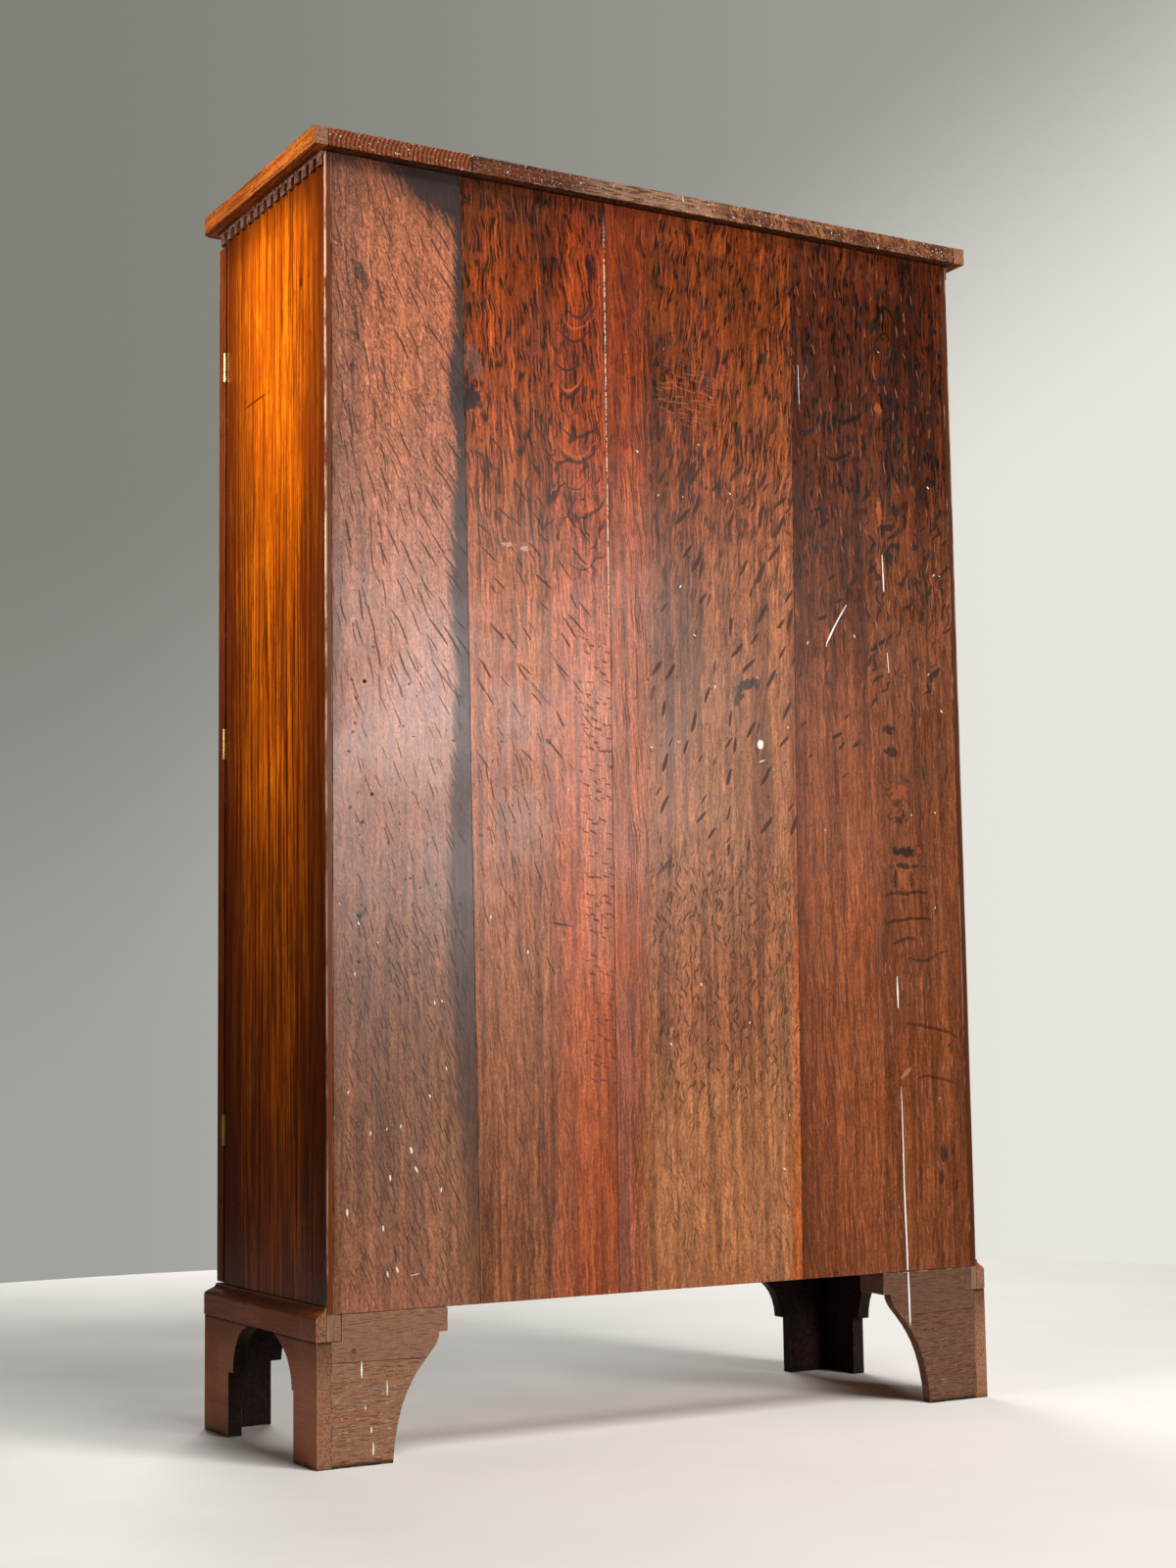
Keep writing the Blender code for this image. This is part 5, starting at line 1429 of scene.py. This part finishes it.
class CABINET_OT_doors(bpy.types.Operator):
    """Finish the door frames, the glazing bars and the glass"""

    bl_idname = "cabinet.doors"
    bl_label = "Doors"

    def execute(self, context):
        arris = sizes()
        upright = mahogany("mahogany_stile")
        level = mahogany("mahogany_rail")
        glass = old_glass()
        dress(both_sides("hinge_stile_SIDE"), upright, arris.board_arris)
        dress(both_sides("meeting_stile_SIDE"), upright, arris.small_arris)
        dress(both_sides("top_rail_SIDE", "bottom_rail_SIDE"), level, arris.board_arris)
        dress(both_sides("glazing_bars_SIDE"), upright, arris.bar_round, 4)
        dress(both_sides("glass_SIDE"), glass, 0)
        for name in both_sides("glass_SIDE"):
            NODES[name].visible_shadow = False
        return {"FINISHED"}


def framed_ring(bm, low, high, profile):
    """A mitred ring of moulding inside a rectangle: a closed profile of inset and depth in Y."""
    rings = []
    for inset, depth in profile:
        corners = (
            (low.x + inset, low.z + inset), (high.x - inset, low.z + inset),
            (high.x - inset, high.z - inset), (low.x + inset, high.z - inset),
        )
        rings.append([bm.verts.new((x, depth, z)) for x, z in corners])
    for ring, following in zip(rings, rings[1:] + rings[:1]):
        bridge(bm, ring, following)


class CABINET_OT_sash_mouldings(bpy.types.Operator):
    """Add the moulding in front of the glass and the putty behind it"""

    bl_idname = "cabinet.sash_mouldings"
    bl_label = "Sash Mouldings"

    ROUND_STEPS = 6
    FILLET = 0.0015
    CLEARANCE = 0.0004

    def execute(self, context):
        wood = bpy.data.materials["mahogany_stile"]
        putty = glazing_putty()
        for side, _ in HANDS:
            glass_low, glass_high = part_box("glass_" + side)
            opening = self.opening(side)
            bm = bmesh.new()
            framed_ring(bm, *opening, self.moulding_profile(glass_low.y - self.CLEARANCE))
            new_piece("sash_moulding_" + side, bm, wood, side + "_door")
            bm = bmesh.new()
            framed_ring(bm, *opening, self.putty_profile(glass_high.y + self.CLEARANCE))
            new_piece("glazing_putty_" + side, bm, putty, side + "_door")
        return {"FINISHED"}

    def moulding_profile(self, back):
        """A fillet and a quarter round that falls to the glass."""
        width = sizes().moulding_width
        front = DOOR_FRONT + self.FILLET
        profile = [(0.0, back), (0.0, front), (self.FILLET, front)]
        for step in range(self.ROUND_STEPS + 1):
            angle = math.pi / 2 * step / self.ROUND_STEPS
            profile.append((
                self.FILLET + (width - self.FILLET) * math.sin(angle),
                back + (front + self.FILLET / 2 - back) * math.cos(angle),
            ))
        return profile

    def putty_profile(self, front):
        """A slope from the frame down to the glass."""
        rear = DOOR_REAR - 2 * self.FILLET
        return [(0.0, front), (0.0, rear), (self.FILLET, rear), (sizes().putty_width, front)]

    def opening(self, side):
        """The inner corners of a door's frame."""
        stiles = [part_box(stem + side) for stem in ("hinge_stile_", "meeting_stile_")]
        inner = sorted((low.x, high.x) for low, high in stiles)
        low_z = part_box("bottom_rail_" + side)[1].z
        high_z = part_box("top_rail_" + side)[0].z
        return Vector((inner[0][1], 0, low_z)), Vector((inner[1][0], 0, high_z))


class CABINET_OT_fittings(bpy.types.Operator):
    """Finish the hinges, the lock, the key and the bolts"""

    bl_idname = "cabinet.fittings"
    bl_label = "Fittings"

    def execute(self, context):
        colours = finish()
        brass = metal("old_brass", colours.brass, colours.tarnish, 0.25, 0.26)
        iron = metal("old_iron", colours.iron, colours.rust, 0.5, 0.38)
        finishes = {"brass": brass, "iron": iron}
        for name, node in NODES.items():
            wanted = finishes.get(node.material_slots[0].material.name)
            if wanted:
                dress([name], wanted, sizes().metal_arris)
        return {"FINISHED"}


class CABINET_OT_nails(bpy.types.Operator):
    """Add the iron nails in the back boards and the feet"""

    bl_idname = "cabinet.nails"
    bl_label = "Nails"

    # Places across and up on the back, in the order they stand
    PLACES = (
        (0.484, 1.700), (0.471, 1.567), (0.486, 1.547), (0.4775, 1.478), (0.484, 1.435), (0.4835, 1.318),
        (0.313, 1.690), (0.488, 1.198), (0.483, 1.084), (0.4675, 1.009), (0.479, 0.987), (0.4845, 0.941),
        (0.4575, 0.860), (0.471, 0.823), (0.476, 0.700), (0.4775, 0.6405), (0.486, 0.145), (-0.484, 1.55),
        (-0.488, 1.21), (-0.482, 0.86), (-0.486, 0.52),
    )
    SEED = 7
    SUNK = 0.0004
    # Shares of the radius for the rings of the hammered head: how wide and how proud
    HEAD = ((1.0, 0.0), (0.96, 0.14), (0.7, 0.26), (0.35, 0.30), (0.12, 0.27))
    FOOT_SHARE = 0.9
    SIZE_SHARES = (0.75, 1.15)
    LEAN = 0.12

    def execute(self, context):
        rng = random.Random(self.SEED)
        bm = bmesh.new()
        for x, z in self.PLACES:
            radius = sizes().nail_radius * rng.uniform(*self.SIZE_SHARES)
            profile = [(radius * self.FOOT_SHARE, -self.SUNK)]
            profile += [(radius * wide, radius * proud) for wide, proud in self.HEAD]
            lean = Vector((rng.uniform(-self.LEAN, self.LEAN), 1.0, rng.uniform(-self.LEAN, self.LEAN)))
            turned_head(bm, Vector((x, BACK_FACE, z)), lean.normalized(), profile)
        smooth(new_piece("back_nails", bm, bpy.data.materials["old_iron"], "case"))
        return {"FINISHED"}


class CABINET_OT_screws(bpy.types.Operator):
    """Add the slotted screws of the hinges and the pins of the escutcheon"""

    bl_idname = "cabinet.screws"
    bl_label = "Screws and Pins"

    SLOT = 0.0004
    HEAD_STEPS = 10
    HINGES = (1, 2, 3)
    # Shares of a leaf's height, and of its width from the inner edge, where its screws stand
    SCREW_HEIGHTS = (0.2, 0.8)
    SCREW_ACROSS = 0.32
    # Rings of a screw head: shares of the radius and how proud they stand
    SCREW_RINGS = ((1.0, -0.0002), (1.0, 0.00004), (0.9, 0.0001))
    # Rings of a pin likewise, and how far a pin stands from the escutcheon's end
    PIN_RINGS = ((1.0, -0.0004), (1.0, 0.0002), (0.6, 0.0006), (0.15, 0.0007))
    PIN_INSET = 0.0028
    # How near a vertex lies to the plate's inner edge to count as on it
    EDGE_REACH = 0.0005

    def execute(self, context):
        for side, _ in HANDS:
            for body, leaf in (("case", "case_leaf_"), (side + "_door", "door_leaf_")):
                self.add_hinge_screws(side, body, leaf)
        self.add_escutcheon_pins()
        return {"FINISHED"}

    def add_hinge_screws(self, side, body, leaf):
        """Two slotted heads in the plate of each of the leaves on one body."""
        rng = random.Random(leaf + side)
        bm = bmesh.new()
        for number in self.HINGES:
            name = leaf + side + "_" + str(number)
            low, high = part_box(name)
            face, outward = self.plate_face(name, body == "case")
            inner, outer = sorted((abs(low.x), abs(high.x)))
            across = math.copysign(inner + (outer - inner) * self.SCREW_ACROSS, low.x)
            for share in self.SCREW_HEIGHTS:
                centre = Vector((across, face, low.z + (high.z - low.z) * share))
                self.add_slotted_head(bm, centre, outward, rng.uniform(0, math.pi))
        new_piece(leaf + side + "_screws", bm, bpy.data.materials["old_brass"], body)

    def plate_face(self, name, on_case):
        """Where the shown face of a leaf's plate lies in Y, and which way it faces."""
        low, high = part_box(name)
        edge = min(abs(low.x), abs(high.x))
        mesh = NODES[name].data
        plate = [vert.co.y for vert in mesh.vertices if abs(abs(vert.co.x) - edge) < self.EDGE_REACH]
        return (min(plate), -1.0) if on_case else (max(plate), 1.0)

    def add_slotted_head(self, bm, centre, outward, turn):
        """Two half discs with rounded rims, parted by the slot."""
        radius = sizes().screw_radius
        for facing in (turn, turn + math.pi):
            rings = []
            for share, proud in self.SCREW_RINGS:
                ring = []
                for step in range(self.HEAD_STEPS + 1):
                    angle = math.pi * step / self.HEAD_STEPS
                    x = radius * share * math.cos(angle)
                    z = self.SLOT + (radius * share - self.SLOT) * math.sin(angle)
                    across = x * math.cos(facing) - z * math.sin(facing)
                    up = x * math.sin(facing) + z * math.cos(facing)
                    ring.append(bm.verts.new(centre + Vector((across, outward * proud, up))))
                rings.append(ring)
            for lower, upper in zip(rings, rings[1:]):
                bridge(bm, lower, upper)
            bm.faces.new(rings[0])
            bm.faces.new(rings[-1])

    def add_escutcheon_pins(self):
        """One round pin at each end of the escutcheon."""
        low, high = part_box("escutcheon")
        bm = bmesh.new()
        radius = sizes().pin_radius
        profile = [(radius * share, proud) for share, proud in self.PIN_RINGS]
        middle = (low.x + high.x) / 2
        for z in (low.z + self.PIN_INSET, high.z - self.PIN_INSET):
            turned_head(bm, Vector((middle, low.y, z)), Vector((0, -1, 0)), profile)
        smooth(new_piece("escutcheon_pins", bm, bpy.data.materials["old_brass"], "right_door"))


class CABINET_OT_paint_runs(bpy.types.Operator):
    """Add the runs and splashes of pale paint on the back and the feet"""

    bl_idname = "cabinet.paint_runs"
    bl_label = "Paint Runs"

    # Each run is a list of places across and up with a share of the full half width
    RUNS = (
        ((-0.3862, 1.256, 0.5), (-0.3868, 1.230, 0.7), (-0.3875, 1.204, 0.9), (-0.3878, 1.199, 0.5)),
        ((-0.3908, 1.106, 0.4), (-0.3920, 1.090, 0.7), (-0.3929, 1.076, 0.5)),
        ((-0.3920, 0.622, 0.5), (-0.3924, 0.600, 0.9), (-0.3927, 0.575, 0.6)),
        ((-0.3940, 0.460, 0.4), (-0.3945, 0.420, 0.8), (-0.3948, 0.370, 1.0), (-0.3947, 0.325, 1.0),
         (-0.3955, 0.275, 1.1), (-0.3962, 0.240, 1.0), (-0.3970, 0.1935, 1.0)),
        ((-0.3973, 0.1905, 1.0), (-0.3980, 0.150, 1.0), (-0.3983, 0.122, 0.9), (-0.3985, 0.114, 0.4)),
        ((-0.3173, 1.1735, 0.7), (-0.3070, 1.1585, 1.0), (-0.2939, 1.1383, 1.1), (-0.2854, 1.1230, 1.2),
         (-0.2800, 1.1130, 0.9), (-0.2790, 1.1080, 0.4)),
        ((-0.2400, 1.5300, 0.3), (-0.2405, 1.5000, 0.45), (-0.2410, 1.4700, 0.3)),
        ((0.4752, 0.1310, 0.5), (0.4754, 0.1200, 1.0), (0.4752, 0.1100, 0.6)),
        ((0.4399, 0.1050, 0.4), (0.4397, 0.0950, 0.8), (0.4398, 0.0850, 0.4)),
        ((0.4702, 0.0755, 0.4), (0.4700, 0.0725, 0.7), (0.4701, 0.0694, 0.4)),
        ((0.4622, 0.0480, 0.4), (0.4619, 0.0440, 0.8), (0.4620, 0.0406, 0.6)),
        ((0.4595, 0.0280, 0.5), (0.4592, 0.0200, 0.9), (0.4594, 0.0123, 0.5)),
    )
    SEED = 11
    SPREAD = 0.35
    # How proud of the wood a run stands at its rim and over its middle half
    RIM = 0.00002
    THICKNESS = 0.00018

    def execute(self, context):
        rng = random.Random(self.SEED)
        bm = bmesh.new()
        for run in self.RUNS:
            self.add_run(bm, run, rng)
        new_piece("paint_runs", bm, flaked_paint(), "case")
        return {"FINISHED"}

    def add_run(self, bm, run, rng):
        """One ragged ribbon of paint with a raised middle."""
        rows = []
        for x, z, share in run:
            half = sizes().run_width * share
            left = half * rng.uniform(1 - self.SPREAD, 1 + self.SPREAD)
            right = half * rng.uniform(1 - self.SPREAD, 1 + self.SPREAD)
            section = (
                (-left, self.RIM), (-left / 2, self.THICKNESS),
                (right / 2, self.THICKNESS), (right, self.RIM),
            )
            rows.append([bm.verts.new((x + aside, BACK_FACE + proud, z)) for aside, proud in section])
        for upper, lower in zip(rows, rows[1:]):
            for step in range(len(upper) - 1):
                bm.faces.new((upper[step], upper[step + 1], lower[step + 1], lower[step]))


class CABINET_OT_stage(bpy.types.Operator):
    """Build the pale floor, the wall, the lamps and the camera"""

    bl_idname = "cabinet.stage"
    bl_label = "Stage"

    WALL_STEPS = 96
    # The camera of the photograph, solved from the cabinet's straight edges
    CAMERA_PLACE = (1.738857, 3.015892, 0.535948)
    PITCH = 6.178
    ROLL = -0.812
    YAW = -29.76
    LENS = 54.085
    FRAME_WIDTH = 36.0
    SKY_COLOUR = (1.0, 0.98, 0.95)
    # Each lamp: where it stands, what it faces, its width and height, and its spread in degrees
    LAMPS = {
        "back_lamp": ((-1.8, 4.3, 1.55), (0.2, 0.2, 0.95), 1.25, 1.0, 180),
        "key_lamp": ((-0.35, 2.75, 4.6), (0.0, 0.2, 0.9), 1.8, 1.8, 180),
        "side_lamp": ((1.9, 0.17, 1.75), (0.52, 0.05, 1.45), 0.7, 0.7, 62),
        "front_lamp": ((-1.2, -4.2, 2.6), (0.0, -0.2, 0.9), 2.2, 2.2, 180),
    }

    def execute(self, context):
        scene = context.scene
        stage = scene.cabinet_stage
        scene.view_settings.view_transform = "Standard"
        self.add_floor(stage)
        self.add_wall(stage)
        for name, settings in self.LAMPS.items():
            self.add_lamp(name, getattr(stage, name), *settings)
        self.light_world(scene, stage)
        self.add_camera(scene)
        return {"FINISHED"}

    def add_floor(self, stage):
        """A pale disc with a faint gloss."""
        bm = bmesh.new()
        bmesh.ops.create_circle(bm, cap_ends=True, radius=stage.stage_radius, segments=self.WALL_STEPS)
        material, graph, shader, place = start_material("pale_floor")
        smudges = graph.noise(place, 3.0, 4.0)
        smudged = graph.between(smudges, 0.3, 0.8, 0.0, 0.1)
        graph.feed(shader.inputs["Base Color"], graph.mix(smudged, stage.floor, stage.wall_dim))
        graph.feed(shader.inputs["Roughness"], graph.between(smudges, *NOISE_SPREAD, 0.62, 0.72))
        shader.inputs["Specular IOR Level"].default_value = 0.05
        self.add_stage_mesh("floor", bm, material)

    def add_wall(self, stage):
        """A round wall that only shows its inner face and leaves the light alone."""
        bm = bmesh.new()
        circle = bmesh.ops.create_circle(bm, radius=stage.stage_radius, segments=self.WALL_STEPS)
        edges = list({edge for vert in circle["verts"] for edge in vert.link_edges})
        raised = bmesh.ops.extrude_edge_only(bm, edges=edges)["geom"]
        for vert in raised:
            if isinstance(vert, bmesh.types.BMVert):
                vert.co.z += stage.wall_height
        bmesh.ops.recalc_face_normals(bm, faces=bm.faces)
        bmesh.ops.reverse_faces(bm, faces=bm.faces)
        material = bpy.data.materials.new("pale_wall")
        graph = empty_graph(material)
        x, y, z = graph.split(graph.add("TexCoord").outputs["Object"])
        # The wall glows with painted light, dimmer at one end, and with painted shade high up
        sideways = graph.plus(graph.times(y, 0.5), x, -0.87)
        colour = graph.mix(graph.between(sideways, -1.3, 1.1), stage.wall_dim, stage.wall_bright)
        high = graph.plus(z, sideways, -0.62)
        colour = graph.tint(colour, stage.wall_shade, graph.between(high, 1.2, 2.6, 0.0, 0.75))
        glow = graph.add("Emission", {"Color": colour})
        clear = graph.add("BsdfTransparent")
        outer = graph.add("NewGeometry").outputs["Backfacing"]
        shown = graph.add("MixShader", {0: outer, 1: glow.outputs[0], 2: clear.outputs[0]})
        graph.add("OutputMaterial", {"Surface": shown.outputs[0]})
        wall = self.add_stage_mesh("wall", bm, material)
        wall.visible_shadow = False
        wall.visible_diffuse = False
        wall.visible_glossy = False

    def add_stage_mesh(self, name, bm, material):
        """A mesh object for the stage, made from a bmesh."""
        piece = mesh_object(name, bm, material)
        return piece

    def add_lamp(self, name, power, place, target, width, height, spread):
        """One soft rectangular lamp that faces its target."""
        lamp = bpy.data.lights.new(name, "AREA")
        lamp.shape = "RECTANGLE"
        lamp.energy = power
        lamp.size = width
        lamp.size_y = height
        lamp.spread = math.radians(spread)
        holder = bpy.data.objects.new(name, lamp)
        holder.location = place
        holder.rotation_euler = (Vector(target) - Vector(place)).to_track_quat("-Z", "Y").to_euler()
        bpy.context.scene.collection.objects.link(holder)

    def light_world(self, scene, stage):
        """Even light from all round, and a pale background where the wall doesn't reach."""
        world = bpy.data.worlds.new("soft_sky")
        scene.world = world
        graph = empty_graph(world)
        light = graph.add("Background", {"Color": self.SKY_COLOUR, "Strength": stage.sky})
        seen = graph.add("Background", {"Color": stage.wall_bright, "Strength": 1.0})
        path = graph.add("LightPath").outputs
        direct = graph.math("MAXIMUM", path["Is Camera Ray"], path["Is Transmission Ray"])
        shown = graph.add("MixShader", {0: direct, 1: light.outputs[0], 2: seen.outputs[0]})
        graph.add("OutputWorld", {"Surface": shown.outputs[0]})

    def add_camera(self, scene):
        """The photograph's own viewpoint."""
        pitch, roll, yaw = (math.radians(angle) for angle in (self.PITCH, self.ROLL, self.YAW))
        ahead = Vector((math.sin(yaw) * math.cos(pitch), -math.cos(yaw) * math.cos(pitch), math.sin(pitch)))
        right = ahead.cross(Vector((0, 0, 1))).normalized()
        up = right.cross(ahead)
        across = right * math.cos(roll) + up * math.sin(roll)
        upright = up * math.cos(roll) - right * math.sin(roll)
        data = bpy.data.cameras.new("photo_camera")
        data.sensor_width = self.FRAME_WIDTH
        data.lens = self.LENS
        camera = bpy.data.objects.new("photo_camera", data)
        turn = Matrix((across, upright, -ahead)).transposed().to_4x4()
        camera.matrix_world = Matrix.Translation(self.CAMERA_PLACE) @ turn
        scene.collection.objects.link(camera)
        scene.camera = camera


STEPS = (
    CABINET_OT_stage,
    CABINET_OT_back_boards,
    CABINET_OT_case,
    CABINET_OT_base,
    CABINET_OT_doors,
    CABINET_OT_sash_mouldings,
    CABINET_OT_fittings,
    CABINET_OT_nails,
    CABINET_OT_screws,
    CABINET_OT_paint_runs,
)


class CABINET_PT_looks(bpy.types.Panel):
    """Lists the steps and settings of the cabinet's looks"""

    bl_label = "Display Cabinet"
    bl_idname = "CABINET_PT_looks"
    bl_space_type = "VIEW_3D"
    bl_region_type = "UI"
    bl_category = "Cabinet"

    def draw(self, context):
        layout = self.layout
        for step in STEPS:
            layout.operator(step.bl_idname)
        for settings in ("cabinet_finish", "cabinet_sizes", "cabinet_stage"):
            column = layout.column(align=True)
            group = getattr(context.scene, settings)
            for name in group.bl_rna.properties.keys():
                if name not in ("rna_type", "name"):
                    column.prop(group, name)


CLASSES = (CabinetFinish, CabinetSizes, CabinetStage, *STEPS, CABINET_PT_looks)


def register():
    """Registers the classes and hangs their settings on the scene."""
    for each in CLASSES:
        bpy.utils.register_class(each)
    bpy.types.Scene.cabinet_finish = PointerProperty(type=CabinetFinish)
    bpy.types.Scene.cabinet_sizes = PointerProperty(type=CabinetSizes)
    bpy.types.Scene.cabinet_stage = PointerProperty(type=CabinetStage)


def unregister():
    """Takes back what register did."""
    del bpy.types.Scene.cabinet_stage
    del bpy.types.Scene.cabinet_sizes
    del bpy.types.Scene.cabinet_finish
    for each in reversed(CLASSES):
        bpy.utils.unregister_class(each)


def make_shared_groups():
    """Builds each shared shader group once."""
    for make_group in (
        make_grain_group, make_ripple_group, make_fleck_group, make_blotch_group, make_bowl_group,
        make_wear_group, make_grime_group, make_dust_group,
    ):
        make_group()


def main():
    """Builds the looks step by step."""
    register()
    make_shared_groups()
    bpy.ops.cabinet.stage()
    bpy.ops.cabinet.back_boards()
    bpy.ops.cabinet.case()
    bpy.ops.cabinet.base()
    bpy.ops.cabinet.doors()
    bpy.ops.cabinet.sash_mouldings()
    bpy.ops.cabinet.fittings()
    bpy.ops.cabinet.nails()
    bpy.ops.cabinet.screws()
    bpy.ops.cabinet.paint_runs()


if __name__ == "__main__":
    main()
